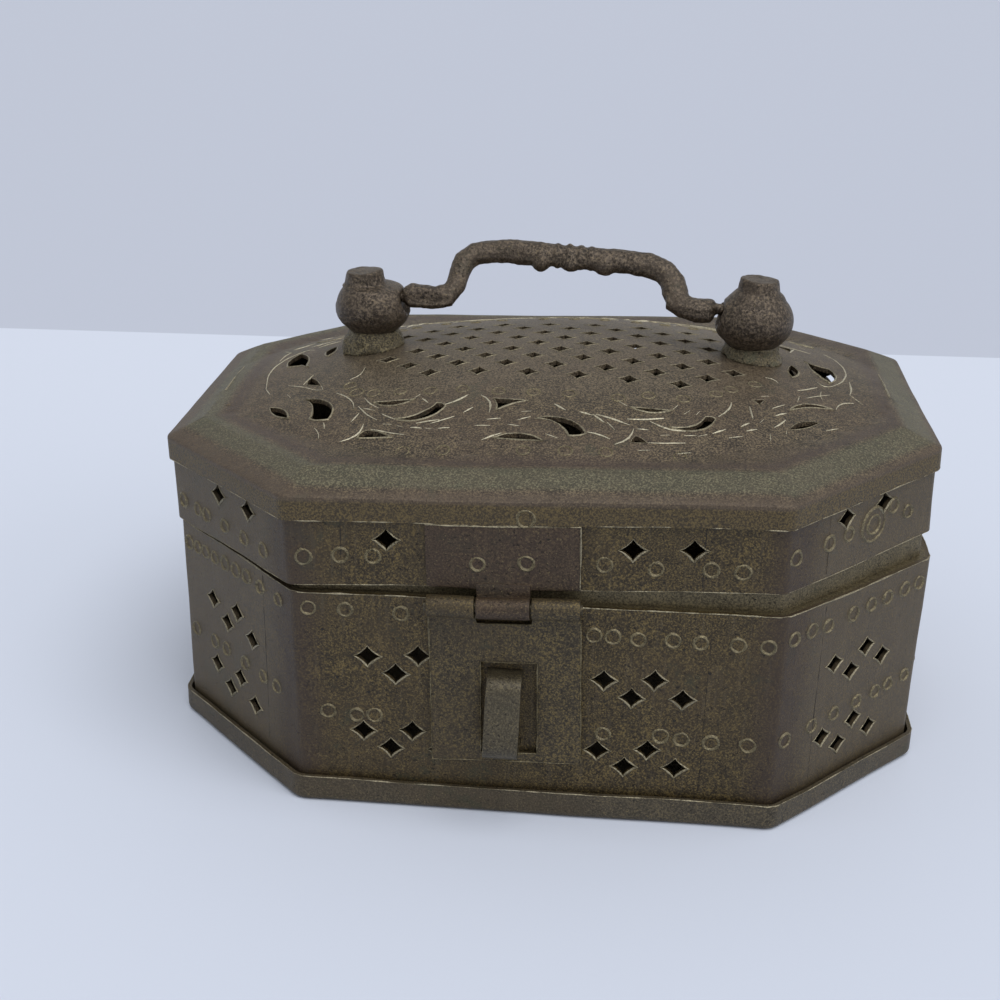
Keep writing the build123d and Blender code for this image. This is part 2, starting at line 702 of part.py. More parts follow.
# Back hinges: a leaf on the skirt, a leaf on the body and a pin through their knuckles
hinge_tongue_front = hinge_axis_y - hinge_knuckle_radius
hinge_clear = hinge_knuckle_radius + hinge_leaf_clear
lid_leaf_bottom = hinge_clear - hinge_axis_drop
body_leaf_top = -hinge_clear - hinge_axis_drop
hinge_bore_radius = hinge_pin_radius + hinge_pin_clearance
for side, side_name in ((-1, "left"), (1, "right")):
    hinge_centre = side * hinge_spacing / 2
    hinge_start = hinge_centre - hinge_width / 2
    with BuildPart() as hinge_lid_leaf:
        with BuildSketch(across(lid_plane, hinge_start)):
            with Locations((half_depth, lid_leaf_bottom)):
                Rectangle(hinge_sheet, hinge_leaf_height, align=(Align.MIN, Align.MIN))
        extrude(amount=hinge_width)
        with BuildSketch(across(lid_plane, hinge_centre - hinge_knuckle_width / 2)):
            with Locations((hinge_axis_y, -hinge_axis_drop)):
                Circle(hinge_knuckle_radius)
            with Locations((hinge_tongue_front, -hinge_axis_drop)):
                Rectangle(hinge_sheet, hinge_clear + tongue_lap, align=(Align.MIN, Align.MIN))
            with Locations((half_depth, lid_leaf_bottom)):
                Rectangle(hinge_tongue_front - half_depth + hinge_sheet, tongue_lap, align=(Align.MIN, Align.MIN))
            with Locations((hinge_axis_y, -hinge_axis_drop)):
                Circle(hinge_bore_radius, mode=Mode.SUBTRACT)
        extrude(amount=hinge_knuckle_width)
    hinge_lid_leaf.part.label = side_name + "_hinge_lid_leaf"
    export_step(hinge_lid_leaf.part, "parts/" + side_name + "_hinge_lid_leaf.step")

    with BuildPart() as hinge_body_leaf:
        with BuildSketch(across(lid_plane, hinge_start)):
            with Locations((half_depth, body_leaf_top)):
                Rectangle(hinge_sheet, hinge_leaf_height, align=(Align.MIN, Align.MAX))
            with Locations((hinge_axis_y, -hinge_axis_drop)):
                Circle(hinge_knuckle_radius)
            with Locations((hinge_tongue_front, -hinge_axis_drop)):
                Rectangle(hinge_sheet, hinge_clear + tongue_lap, align=(Align.MIN, Align.MAX))
            with Locations((half_depth, body_leaf_top)):
                Rectangle(hinge_tongue_front - half_depth + hinge_sheet, tongue_lap, align=(Align.MIN, Align.MAX))
            with Locations((hinge_axis_y, -hinge_axis_drop)):
                Circle(hinge_pin_radius, mode=Mode.SUBTRACT)
        extrude(amount=hinge_width)
        with BuildSketch(upright(lid_plane, hinge_centre).offset(-half_depth)):
            with Locations((0, body_leaf_top)):
                Rectangle(
                    hinge_knuckle_width + 2 * hinge_side_gap,
                    2 * hinge_clear,
                    align=(Align.CENTER, Align.MIN),
                )
        extrude(amount=-2 * (hinge_axis_y - half_depth), mode=Mode.SUBTRACT)
    hinge_body_leaf.part.label = side_name + "_hinge_body_leaf"
    export_step(hinge_body_leaf.part, "parts/" + side_name + "_hinge_body_leaf.step")

    with BuildPart() as hinge_pin:
        with BuildSketch(across(lid_plane, hinge_start - pin_end_length)):
            with Locations((hinge_axis_y, -hinge_axis_drop)):
                Circle(hinge_pin_radius)
        extrude(amount=hinge_width + 2 * pin_end_length)
    hinge_pin.part.label = side_name + "_hinge_pin"
    export_step(hinge_pin.part, "parts/" + side_name + "_hinge_pin.step")

# Joint axes, for the record
for name, point in (
    ("bail pivot", pivot_centre),
    ("hasp pivot", lid_plane.from_local_coords((hasp_centre, hasp_axis_y, -hasp_axis_drop))),
    ("lid pivot", lid_plane.from_local_coords((0, hinge_axis_y, -hinge_axis_drop))),
):
    print(name, [round(value, 4) for value in (point.X, point.Y, point.Z)])
print("bail axis", [round(value, 6) for value in tuple(handle_plane.x_dir)])
print("lid axis", [round(value, 6) for value in tuple(lid_plane.x_dir)])
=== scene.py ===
import math
import random

import bmesh
import bpy
from mathutils import Matrix, Vector, noise


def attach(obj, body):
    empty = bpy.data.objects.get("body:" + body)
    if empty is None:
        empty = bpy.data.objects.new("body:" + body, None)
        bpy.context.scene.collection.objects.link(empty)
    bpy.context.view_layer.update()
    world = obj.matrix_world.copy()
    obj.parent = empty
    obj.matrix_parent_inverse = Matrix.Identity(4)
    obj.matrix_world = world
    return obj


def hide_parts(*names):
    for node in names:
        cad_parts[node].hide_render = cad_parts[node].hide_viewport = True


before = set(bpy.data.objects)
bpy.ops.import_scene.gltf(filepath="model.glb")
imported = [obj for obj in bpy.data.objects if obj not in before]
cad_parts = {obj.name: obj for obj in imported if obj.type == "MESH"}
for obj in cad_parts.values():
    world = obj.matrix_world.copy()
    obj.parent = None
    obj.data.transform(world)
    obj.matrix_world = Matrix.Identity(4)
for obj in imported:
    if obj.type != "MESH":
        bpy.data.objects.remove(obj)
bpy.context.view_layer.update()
print("frame loaded with", len(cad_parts), "nodes")

mm = 0.001
upAxis = Vector((0, 0, 1))

# Where the tilted lid, the handle's posts and the bail lie, as in the frame
lidSeat = {"slide": -0.7, "height": 44.2104, "tilt": 2.0}
handleSeat = {"x": 0.7, "y": 2.2, "slope": 1.2, "turn": -2.5, "pivotHeight": 34.5, "lean": 45.0, "postX": 37.1}
plan = {"halfLength": 69.8, "halfDepth": 53.9, "cut": 28.0, "bodyTop": 41.4, "raised": 1.2}
dome = {"top": 27.3, "across": 127.5, "along": 262.0, "brim": 16.2, "ridge": 19.2, "inset": 6.0, "sheet": 0.8}

lidMatrix = (
    Matrix.Translation(Vector((lidSeat["slide"], 0, lidSeat["height"])) * mm)
    @ Matrix.Rotation(-math.radians(lidSeat["tilt"]), 4, "Y")
)
handleMatrix = (
    lidMatrix
    @ Matrix.Translation(Vector((handleSeat["x"], handleSeat["y"], 0)) * mm)
    @ Matrix.Rotation(math.radians(handleSeat["slope"]), 4, "Y")
    @ Matrix.Rotation(math.radians(handleSeat["turn"]), 4, "Z")
)
bailMatrix = (
    handleMatrix
    @ Matrix.Translation((0, 0, handleSeat["pivotHeight"] * mm))
    @ Matrix.Rotation(math.radians(90 - handleSeat["lean"]), 4, "X")
)


# Camera

camera = {
    "lens": 53.09,
    "sensor": 36.0,
    "place": (0.012568, -0.276577, 0.153774),
    "down": 22.72,
    "turn": 4.95,
    "roll": -1.06,
}


def makeCamera():
    data = bpy.data.cameras.new("camera")
    data.lens = camera["lens"]
    data.sensor_width = camera["sensor"]
    data.clip_start = 0.01
    seer = bpy.data.objects.new("camera", data)
    bpy.context.scene.collection.objects.link(seer)
    turn = (
        Matrix.Rotation(math.radians(camera["turn"]), 4, "Z")
        @ Matrix.Rotation(-math.radians(camera["down"]), 4, "X")
        @ Matrix.Rotation(math.radians(camera["roll"]), 4, "Y")
        @ Matrix.Rotation(math.radians(90), 4, "X")
    )
    seer.matrix_world = Matrix.Translation(camera["place"]) @ turn
    bpy.context.scene.camera = seer
    return seer


makeCamera()
bpy.context.scene.view_settings.view_transform = "Standard"
print("camera set")


# Materials

def tint(red, green, blue):
    # A colour as a monitor shows it, 0 to 255, turned into linear light
    parts = [value / 255 for value in (red, green, blue)]
    return tuple(v / 12.92 if v <= 0.04045 else ((v + 0.055) / 1.055) ** 2.4 for v in parts) + (1.0,)


class Wire:
    # A socket that takes part in Python expressions
    def __init__(self, finish, socket):
        self.finish = finish
        self.socket = socket

    def maths(self, operation, first, second=0.0):
        return self.finish.node("ShaderNodeMath", {"operation": operation}, {0: first, 1: second})

    def __add__(self, other):
        return self.maths("ADD", self, other)

    def __radd__(self, other):
        return self.maths("ADD", other, self)

    def __sub__(self, other):
        return self.maths("SUBTRACT", self, other)

    def __rsub__(self, other):
        return self.maths("SUBTRACT", other, self)

    def __mul__(self, other):
        return self.maths("MULTIPLY", self, other)

    def __rmul__(self, other):
        return self.maths("MULTIPLY", other, self)

    def __truediv__(self, other):
        return self.maths("DIVIDE", self, other)

    def __abs__(self):
        return self.maths("ABSOLUTE", self)

    def most(self, other):
        return self.maths("MAXIMUM", self, other)


class Finish:
    def __init__(self, name):
        self.material = bpy.data.materials.new(name)
        self.material.use_nodes = True
        self.tree = self.material.node_tree
        self.tree.nodes.clear()
        self.place = self.node("ShaderNodeTexCoord", output="Object")

    def node(self, kind, settings=None, values=None, output=0):
        made = self.tree.nodes.new(kind)
        for key, value in (settings or {}).items():
            setattr(made, key, value)
        for key, value in (values or {}).items():
            if isinstance(value, Wire):
                self.tree.links.new(value.socket, made.inputs[key])
            else:
                made.inputs[key].default_value = value
        return Wire(self, made.outputs[output])

    def spots(self, perMm, detail=4.0, roughness=0.55, stretch=(1, 1, 1), shift=0.0):
        # Cloudy noise with so many features to the millimetre
        scale = [perMm / mm * part for part in stretch]
        place = self.node("ShaderNodeMapping", None, {"Vector": self.place, "Location": (shift,) * 3, "Scale": scale})
        values = {"Vector": place, "Scale": 1.0, "Detail": detail, "Roughness": roughness}
        return self.node("ShaderNodeTexNoise", None, values)

    def grains(self, perMm, feature="F1"):
        place = self.node("ShaderNodeMapping", None, {"Vector": self.place, "Scale": (perMm / mm,) * 3})
        return self.node("ShaderNodeTexVoronoi", {"feature": feature}, {"Vector": place, "Scale": 1.0})

    def band(self, value, low, high):
        # 0 below low, 1 above high, and smooth between them
        values = {"Value": value, "From Min": low, "From Max": high}
        return self.node("ShaderNodeMapRange", {"interpolation_type": "SMOOTHSTEP"}, values)

    def mix(self, share, first, second):
        return self.node("ShaderNodeMix", {"data_type": "RGBA"}, {0: share, 6: first, 7: second}, output=2)

    def part(self, axis):
        return self.node("ShaderNodeSeparateXYZ", None, {"Vector": self.place}, output=axis)

    def bump(self, height, strength, distance):
        return self.node("ShaderNodeBump", None, {"Height": height, "Strength": strength, "Distance": distance * mm})

    def shade(self, **values):
        named = {key.replace("_", " "): value for key, value in values.items()}
        shader = self.node("ShaderNodeBsdfPrincipled", None, named)
        out = self.tree.nodes.new("ShaderNodeOutputMaterial")
        self.tree.links.new(shader.socket, out.inputs["Surface"])
        return self.material


def patina(name, look, zones=None):
    # Aged brass: a brown skin, gold worn through it in fine grains, green grime, pale specks of painted glint, and pits
    finish = Finish(name)
    broad = finish.spots(look["broad"], 3.0, 0.5)
    drift = finish.spots(look["drift"], 4.0, 0.6, shift=3.1)
    grain = finish.spots(look["grain"], 5.0, 0.72, shift=7.7)
    specksAndGlint = finish.spots(look["specksAndGlint"], 2.0, 0.6, shift=11.3)
    streak = finish.spots(look["streak"], 3.0, 0.6, look["streakStretch"], shift=1.9)
    worn = finish.band(broad, 0.40, 0.60)
    colour = finish.mix(finish.band(grain * 0.85 + drift * 0.15, 0.42, 0.54), look["dark"], look["mid"])
    colour = finish.mix(finish.band(drift * 0.15 + grain * 0.85, 0.50, 0.60) * 0.8, colour, look["light"])
    colour = finish.mix((1 - worn) * look["dullShare"], colour, look["dull"])
    gold = finish.band(grain * 0.85 + drift * 0.15, look["goldFrom"], look["goldFrom"] + 0.07)
    gold = gold * (0.4 + worn * 0.6)
    colour = finish.mix(gold * look["goldShare"], colour, look["gold"])
    green = finish.band(1 - broad * 0.45 - drift * 0.35 - grain * 0.20, look["greenFrom"], look["greenFrom"] + 0.06)
    colour = finish.mix(green * look["greenShare"], colour, look["green"])
    colour = finish.mix(finish.band(streak, 0.54, 0.68) * look["streakShare"], colour, look["streakTint"])
    # Painted highlight: pale glints laid into the colour in small specks
    colour = finish.mix(finish.band(specksAndGlint, 0.62, 0.70) * look["glintShare"], colour, look["glint"])
    pits = finish.band(finish.spots(look["specksAndGlint"] * 0.6, 2.0, 0.5, shift=21.0), 0.63, 0.70)
    colour = finish.mix(pits * look["pitShare"], colour, look["pit"])
    if zones:
        colour = zones(finish, colour, grain)
    height = grain * 0.6 + drift * 0.3 + specksAndGlint * 0.2 - pits * 0.6
    return finish.shade(
        Base_Color=colour,
        Metallic=look["metal"] + gold * 0.2,
        Roughness=look["rough"] + (grain - 0.5) * 0.5 - gold * 0.06,
        Normal=finish.bump(height, look["bump"], look["bumpDepth"]),
    )


wallZones = {
    "corner": tint(62, 50, 45), "cornerShare": 0.55, "cornerFrom": 35.0, "cornerTo": 49.0,
    # Tone of the slanted and end walls: greyer, and lighter as painted light
    "side": tint(95, 85, 71), "sideToneAndLightShare": 0.45,
}
lidZones = {
    "border": tint(84, 84, 67), "borderShare": 0.45, "borderWidth": 7.6,
    "lime": tint(126, 127, 101), "limeShare": 0.5,
    "fold": tint(66, 52, 48), "foldShare": 0.5, "foldFrom": -12.0,
    "brim": tint(82, 69, 57), "brimWidth": 2.0,
    "flangeDark": tint(50, 41, 24), "flangeLight": tint(104, 88, 51), "flangeTop": 59.8,
    "crown": tint(124, 112, 94), "crownShare": 0.5, "crownFrom": -36.0, "crownTo": -24.0,
}


def wallTones(finish, colour, grain):
    # Browner at the front's corners; greyer and lighter on the slanted and the end walls, partly their own tone and
    # partly painted light for the brighter light they catch
    x = abs(finish.part(0)) / mm
    corner = finish.band(x, wallZones["cornerFrom"], 41.5) * (1 - finish.band(x, 43.0, wallZones["cornerTo"]))
    # Painted light: the slanted and end walls are lightened as if lit more strongly than the front
    colour = finish.mix(finish.band(x, 43.0, 49.0) * wallZones["sideToneAndLightShare"], colour, wallZones["side"])
    return finish.mix(corner * wallZones["cornerShare"], colour, wallZones["corner"])


def lidTones(finish, colour, grain):
    # The border's green bloom, the brown fold inside it, and the golden band that is turned down over the skirt
    x, y = abs(finish.part(0)) / mm, abs(finish.part(1)) / mm
    straight = (x - plan["halfLength"]).most(y - plan["halfDepth"])
    rim = straight.most((x + y - plan["halfLength"] - plan["halfDepth"] + plan["cut"]) * 0.7071)
    border = finish.band(rim, -lidZones["borderWidth"], 1.5 - lidZones["borderWidth"])
    border = border * (1 - finish.band(rim, -2.6, -lidZones["brimWidth"] / 2))
    colour = finish.mix(border * lidZones["borderShare"], colour, lidZones["border"])
    lime = finish.band(grain, 0.52, 0.60) * border
    colour = finish.mix(lime * lidZones["limeShare"], colour, lidZones["lime"])
    fold = finish.band(rim, lidZones["foldFrom"], -9.0) * (1 - finish.band(rim, -8.6, -7.2))
    colour = finish.mix(fold * lidZones["foldShare"], colour, lidZones["fold"])
    crowned = 1 - finish.band(rim, lidZones["crownFrom"], lidZones["crownTo"])
    colour = finish.mix(crowned * finish.band(grain, 0.44, 0.56) * lidZones["crownShare"], colour, lidZones["crown"])
    colour = finish.mix(finish.band(rim, -lidZones["brimWidth"], 0.0) * 0.6, colour, lidZones["brim"])
    height = finish.part(2) / mm - finish.part(0) * (math.tan(math.radians(lidSeat["tilt"])) / mm)
    low = 1 - finish.band(height, lidZones["flangeTop"] - 0.4, lidZones["flangeTop"] + 0.4)
    turned = finish.mix(finish.band(grain, 0.42, 0.60), lidZones["flangeDark"], lidZones["flangeLight"])
    return finish.mix(low * 0.8, colour, turned)


sheetLook = {
    "dark": tint(44, 36, 23),
    "mid": tint(75, 63, 40),
    "light": tint(110, 94, 60),
    "dull": tint(74, 61, 42),
    "gold": tint(130, 111, 67),
    "green": tint(64, 70, 52),
    "glint": tint(150, 134, 92),
    "pit": tint(22, 17, 12),
    "streakTint": tint(102, 90, 70),
    "broad": 0.045, "drift": 0.32, "grain": 2.9, "specksAndGlint": 2.8, "streak": 1.3, "streakStretch": (1.0, 1.0, 0.07),
    "dullShare": 0.4, "goldFrom": 0.54, "goldShare": 0.48, "greenFrom": 0.555, "greenShare": 0.3,
    "glintShare": 0.35, "streakShare": 0.25, "pitShare": 0.7, "rough": 0.50, "metal": 0.4,
    "bump": 0.6, "bumpDepth": 0.25,
}
lidLook = dict(
    sheetLook,
    dark=tint(40, 33, 24), mid=tint(81, 70, 55), light=tint(134, 119, 95), dull=tint(84, 68, 56),
    gold=tint(136, 122, 90), green=tint(76, 80, 62), streakTint=tint(116, 104, 90), streakStretch=(0.08, 1.0, 1.0),
    goldFrom=0.56, goldShare=0.4, greenShare=0.3, streakShare=0.2, metal=0.3, dullShare=0.3,
)
trayLook = dict(
    sheetLook, dark=tint(58, 52, 40), mid=tint(80, 72, 58), light=tint(102, 93, 76), goldShare=0.3, streakShare=0.1,
)
# Painted light: the lip's tones are lighter than its metal, to make up for the shade it sits in
litLipLook = dict(
    sheetLook, dark=tint(72, 64, 46), mid=tint(102, 92, 69), light=tint(130, 119, 92), gold=tint(132, 115, 74),
    goldShare=0.4, dullShare=0.1,
)
castLook = dict(
    sheetLook,
    dark=tint(48, 40, 32), mid=tint(83, 72, 61), light=tint(118, 105, 90), dull=tint(78, 67, 56),
    gold=tint(118, 102, 72), broad=0.09, drift=0.5, grain=1.9, goldFrom=0.57, goldShare=0.35, greenShare=0.15,
    bump=0.7, bumpDepth=0.35, rough=0.44, metal=0.45, streakShare=0.0, glintShare=0.3,
)
solderLook = dict(
    sheetLook,
    dark=tint(62, 55, 43), mid=tint(100, 92, 73), light=tint(138, 128, 103), dull=tint(92, 84, 68),
    gold=tint(142, 128, 90), green=tint(88, 92, 72), broad=0.15, drift=0.7, greenShare=0.4, goldFrom=0.50,
    bump=0.9, bumpDepth=0.4, streakShare=0.0,
)
fittingLook = dict(
    sheetLook,
    dark=tint(44, 35, 26), mid=tint(69, 55, 43), light=tint(98, 83, 63), dull=tint(69, 54, 42),
    gold=tint(114, 96, 60), goldShare=0.5, greenShare=0.1, goldFrom=0.56, streakShare=0.08,
)
flapLook = dict(
    sheetLook, dark=tint(46, 39, 28), mid=tint(74, 65, 48), gold=tint(124, 108, 68), goldFrom=0.53, streakShare=0.1,
)
brightLook = dict(
    sheetLook,
    dark=tint(110, 103, 84), mid=tint(146, 138, 115), light=tint(180, 171, 146), dull=tint(128, 119, 99),
    gold=tint(158, 144, 106), green=tint(104, 106, 88), greenShare=0.2, pitShare=0.4, rough=0.44, metal=0.3,
    streakShare=0.0,
)
ringLook = dict(
    brightLook,
    dark=tint(86, 78, 58), mid=tint(118, 108, 82), light=tint(146, 136, 108), dull=tint(98, 89, 68),
    gold=tint(148, 134, 94),
)
stapleLook = dict(
    fittingLook,
    dark=tint(52, 46, 36), mid=tint(80, 73, 57), light=tint(110, 102, 82), dull=tint(74, 67, 53), rough=0.40,
)
strokeLook = dict(
    brightLook,
    dark=tint(156, 149, 128), mid=tint(192, 185, 162), light=tint(216, 210, 188), dull=tint(176, 169, 147),
    gold=tint(202, 190, 152),
)
grimeLook = dict(
    sheetLook,
    dark=tint(20, 17, 14), mid=tint(30, 26, 22), light=tint(42, 37, 31), dull=tint(26, 22, 18),
    gold=tint(60, 52, 36), rough=0.7, metal=0.1, streakShare=0.0, glintShare=0.1,
)

sheetBrass = patina("sheetBrass", sheetLook, wallTones)
lidBrass = patina("lidBrass", lidLook, lidTones)
trayBrass = patina("trayBrass", trayLook)
litLipBrass = patina("litLipBrass", litLipLook)
castBrass = patina("castBrass", castLook)
solderBrass = patina("solderBrass", solderLook)
fittingBrass = patina("fittingBrass", fittingLook)
flapBrass = patina("flapBrass", flapLook)
stapleBrass = patina("stapleBrass", stapleLook)
ringBrass = patina("ringBrass", ringLook)
burrBrass = patina("burrBrass", brightLook)
strokeBrass = patina("strokeBrass", strokeLook)
grime = patina("grime", grimeLook)
print("materials made")


# Room and lamps

room = {
    "reach": 4.0,
    "floor": tint(208, 215, 231),
    "wall": tint(187, 193, 209),
    "seamLeft": (0, 328),
    "seamRight": (1000, 358),
}


def floorPoint(px, py):
    # Where a line of sight through a pixel of the 1000 by 1000 frame meets the floor
    seer = bpy.context.scene.camera.matrix_world
    focal = camera["lens"] / camera["sensor"] * 1000
    way = seer.to_3x3() @ Vector((px - 500, 500 - py, -focal))
    start = seer.translation
    return start + way * (-start.z / way.z)


def makeRoom():
    left = floorPoint(*room["seamLeft"])
    right = floorPoint(*room["seamRight"])
    along = (right - left).normalized()
    away = Vector((-along.y, along.x, 0))
    finish = Finish("paleFloor")
    spot = finish.node(
        "ShaderNodeVectorMath", {"operation": "DOT_PRODUCT"}, {0: finish.place, 1: tuple(away)}, output="Value"
    )
    far = finish.band(spot, left.dot(away) - 0.0005, left.dot(away) + 0.0005)
    colour = finish.mix(far, room["floor"], room["wall"])
    finish.shade(Base_Color=colour, Roughness=0.9)
    shape = bmesh.new()
    bmesh.ops.create_grid(shape, x_segments=4, y_segments=4, size=room["reach"])
    mesh = bpy.data.meshes.new("floor")
    shape.to_mesh(mesh)
    shape.free()
    floor = bpy.data.objects.new("floor", mesh)
    bpy.context.scene.collection.objects.link(floor)
    mesh.materials.append(finish.material)


# Broad soft lamps far off, which with the sky light a level white floor to about 1
lamps = {
    "over": {"from": (0.25, -0.30, 1.0), "strength": 1.50, "spread": 50, "colour": (1.0, 0.99, 0.97)},
    "right": {"from": (1.0, -0.45, 0.45), "strength": 0.39, "spread": 40, "colour": (1.0, 0.98, 0.95)},
}
sky = {"colour": (0.96, 0.98, 1.0), "strength": 0.58}


def makeLamps():
    for name, lamp in lamps.items():
        data = bpy.data.lights.new(name, "SUN")
        data.angle = math.radians(lamp["spread"])
        data.energy = lamp["strength"]
        data.color = lamp["colour"]
        light = bpy.data.objects.new(name, data)
        bpy.context.scene.collection.objects.link(light)
        aim = (-Vector(lamp["from"])).to_track_quat("-Z", "Y")
        light.matrix_world = aim.to_matrix().to_4x4()
    world = bpy.data.worlds.new("sky")
    bpy.context.scene.world = world
    world.use_nodes = True
    back = world.node_tree.nodes["Background"]
    back.inputs["Color"].default_value = (*sky["colour"], 1)
    back.inputs["Strength"].default_value = sky["strength"]


makeRoom()
makeLamps()
print("room and lamps made")


# Shared shaping

hammering = {"span": 26.0, "depth": 0.32, "fineSpan": 7.0, "fineDepth": 0.08, "flatUpTo": 3.0}


def hammered(point):
    # The gentle waves of hand-beaten sheet, the same for every piece so that they still fit together
    broad = noise.noise_vector(point / (hammering["span"] * mm) + Vector((3.7, 1.3, 5.1)))
    fine = noise.noise_vector(point / (hammering["fineSpan"] * mm) + Vector((8.2, 4.4, 0.6)))
    move = (broad * hammering["depth"] + fine * hammering["fineDepth"]) * mm
    move.z *= min(1.0, max(0.0, point.z / (hammering["flatUpTo"] * mm)))  # the base stays flat where it stands
    return point + move


def nodeCopy(name):
    shape = bmesh.new()
    shape.from_mesh(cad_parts[name].data)
    bmesh.ops.remove_doubles(shape, verts=shape.verts, dist=2e-6)
    bmesh.ops.dissolve_degenerate(shape, edges=shape.edges, dist=1e-6)
    return shape


def cutGrid(shape, step, axes="xyz"):
    # Cuts the faces along evenly spaced planes, so that they can follow the waves
    for axis, letter in enumerate("xyz"):
        if letter not in axes:
            continue
        spots = [v.co[axis] for v in shape.verts]
        low, high = min(spots), max(spots)
        count = int((high - low) / (step * mm))
        way = Vector((axis == 0, axis == 1, axis == 2))
        for i in range(1, count + 1):
            at = low + (high - low) * i / (count + 1)
            geometry = shape.verts[:] + shape.edges[:] + shape.faces[:]
            bmesh.ops.bisect_plane(shape, geom=geometry, dist=1e-6, plane_co=way * at, plane_no=way)


def softenEdges(shape, width, segments=2, sharpest=30):
    bmesh.ops.dissolve_limit(shape, angle_limit=math.radians(1), verts=shape.verts, edges=shape.edges)
    edges = [e for e in shape.edges if len(e.link_faces) == 2 and e.calc_face_angle(0) > math.radians(sharpest)]
    bmesh.ops.bevel(
        shape, geom=edges, offset=width * mm, offset_type="OFFSET", segments=segments,
        profile=0.5, affect="EDGES", clamp_overlap=True, material=-1,
    )


def smoothFaces(shape, sharpest=34):
    for face in shape.faces:
        face.smooth = True
    for edge in shape.edges:
        edge.smooth = len(edge.link_faces) != 2 or edge.calc_face_angle(0) < math.radians(sharpest)


def addPiece(name, shape, finish, body, replaced=(), sharpest=34):
    bmesh.ops.triangulate(shape, faces=shape.faces)
    bmesh.ops.dissolve_degenerate(shape, edges=shape.edges, dist=2e-6)
    shape.normal_update()
    smoothFaces(shape, sharpest)
    mesh = bpy.data.meshes.new(name)
    shape.to_mesh(mesh)
    shape.free()
    if "custom_normal" in mesh.attributes:
        mesh.attributes.remove(mesh.attributes["custom_normal"])
    mesh.materials.clear()
    mesh.materials.append(finish)
    for face in mesh.polygons:
        face.material_index = 0
    piece = bpy.data.objects.new(name, mesh)
    bpy.context.scene.collection.objects.link(piece)
    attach(piece, body)
    if replaced:
        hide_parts(*replaced)
    print(name, len(mesh.polygons), "triangles")
    return piece


def wireShape(runs, sides=0):
    # Thin tubes along many runs of points, each point with its own radius, as one mesh
    line = bpy.data.curves.new("run", "CURVE")
    line.dimensions = "3D"
    line.bevel_depth = mm
    line.bevel_resolution = sides
    line.use_fill_caps = True
    for points, closed in runs:
        spline = line.splines.new("POLY")
        spline.points.add(len(points) - 1)
        for spot, (place, radius) in zip(spline.points, points):
            spot.co = (*place, 1)
            spot.radius = radius
        spline.use_cyclic_u = closed
    holder = bpy.data.objects.new("run", line)
    bpy.context.scene.collection.objects.link(holder)
    bpy.context.view_layer.update()
    mesh = bpy.data.meshes.new_from_object(holder.evaluated_get(bpy.context.evaluated_depsgraph_get()))
    bpy.data.objects.remove(holder)
    shape = bmesh.new()
    shape.from_mesh(mesh)
    bmesh.ops.remove_doubles(shape, verts=shape.verts, dist=1e-7)
    return shape


def castSkin(shape, voxel):
    # One closed skin over all the forms of a casting
    mesh = bpy.data.meshes.new("cast")
    shape.to_mesh(mesh)
    shape.free()
    holder = bpy.data.objects.new("cast", mesh)
    bpy.context.scene.collection.objects.link(holder)
    skin = holder.modifiers.new("skin", "REMESH")
    skin.mode = "VOXEL"
    skin.voxel_size = voxel * mm
    bpy.context.view_layer.update()
    made = bpy.data.meshes.new_from_object(holder.evaluated_get(bpy.context.evaluated_depsgraph_get()))
    bpy.data.objects.remove(holder)
    skinned = bmesh.new()
    skinned.from_mesh(made)
    return skinned


def roughen(shape, spans):
    # Moves a skin in and out along its normals: each span with its depth, in millimetres
    shape.normal_update()
    moves = []
    for v in shape.verts:
        move = 0.0
        for i, (span, depth) in enumerate(spans):
            move += noise.noise(v.co / (span * mm) + Vector((i * 7.3, 2.1, 5.5))) * depth
        moves.append(v.normal * move * mm)
    for v, move in zip(shape.verts, moves):
        v.co += move


# Places on the box

wallTurns = {"front": 0, "rightFront": 45, "right": 90, "rightBack": 135,
             "back": 180, "leftBack": 225, "left": 270, "leftFront": 315}


def wallPoint(turn, u, z, out=0.0):
    # A point on one wall of the body: u along it from its middle, z up, out away from it
    angle = math.radians(turn - 90)
    normal = Vector((math.cos(angle), math.sin(angle), 0))
    along = Vector((-normal.y, normal.x, 0))
    shiftX = plan["halfLength"] - (plan["cut"] / 2 if turn % 90 else 0)
    shiftY = plan["halfDepth"] - (plan["cut"] / 2 if turn % 90 else 0)
    middle = Vector((shiftX * round(normal.x), shiftY * round(normal.y), 0))
    return (middle + along * u + normal * out + upAxis * z) * mm


def skirtPoint(turn, u, z, out=0.0):
    # The same on the lid's skirt, with z from the skirt's lower edge
    return lidMatrix @ wallPoint(turn, u, z, out)


def lidHeight(x, y, thinner=0.0):
    # Height of the dome over the lid's own plane, on its outer skin or with that much taken off
    radius = dome["across"] - dome["along"] + math.sqrt((dome["along"] - thinner) ** 2 - x * x)
    return dome["top"] - dome["across"] + math.sqrt(max(radius**2 - y**2, 0))


def lidPoint(x, y):
    return lidMatrix @ (Vector((x, y, lidHeight(x, y))) * mm)


# Sheet pieces

sheetPieces = [
    {"name": "trayPlate", "node": "base_tray", "finish": trayBrass, "body": "box", "slot": "sheet_brass", "grid": 4.0},
    {"name": "wallSheet", "node": "body_wall", "finish": sheetBrass, "body": "box", "slot": "sheet_brass", "grid": 3.5},
    {"name": "lipBand", "node": "body_lip", "finish": litLipBrass, "body": "box", "slot": "sheet_brass", "grid": 4.0},
    {"name": "skirtSheet", "node": "lid_skirt", "finish": sheetBrass, "body": "lid", "slot": "sheet_brass", "grid": 3.5},
]


def makeSheets():
    for piece in sheetPieces:
        shape = nodeCopy(piece["node"])
        cutGrid(shape, piece["grid"])
        for v in shape.verts:
            v.co = hammered(v.co)
        addPiece(piece["name"], shape, piece["finish"], piece["body"], [piece["node"]])


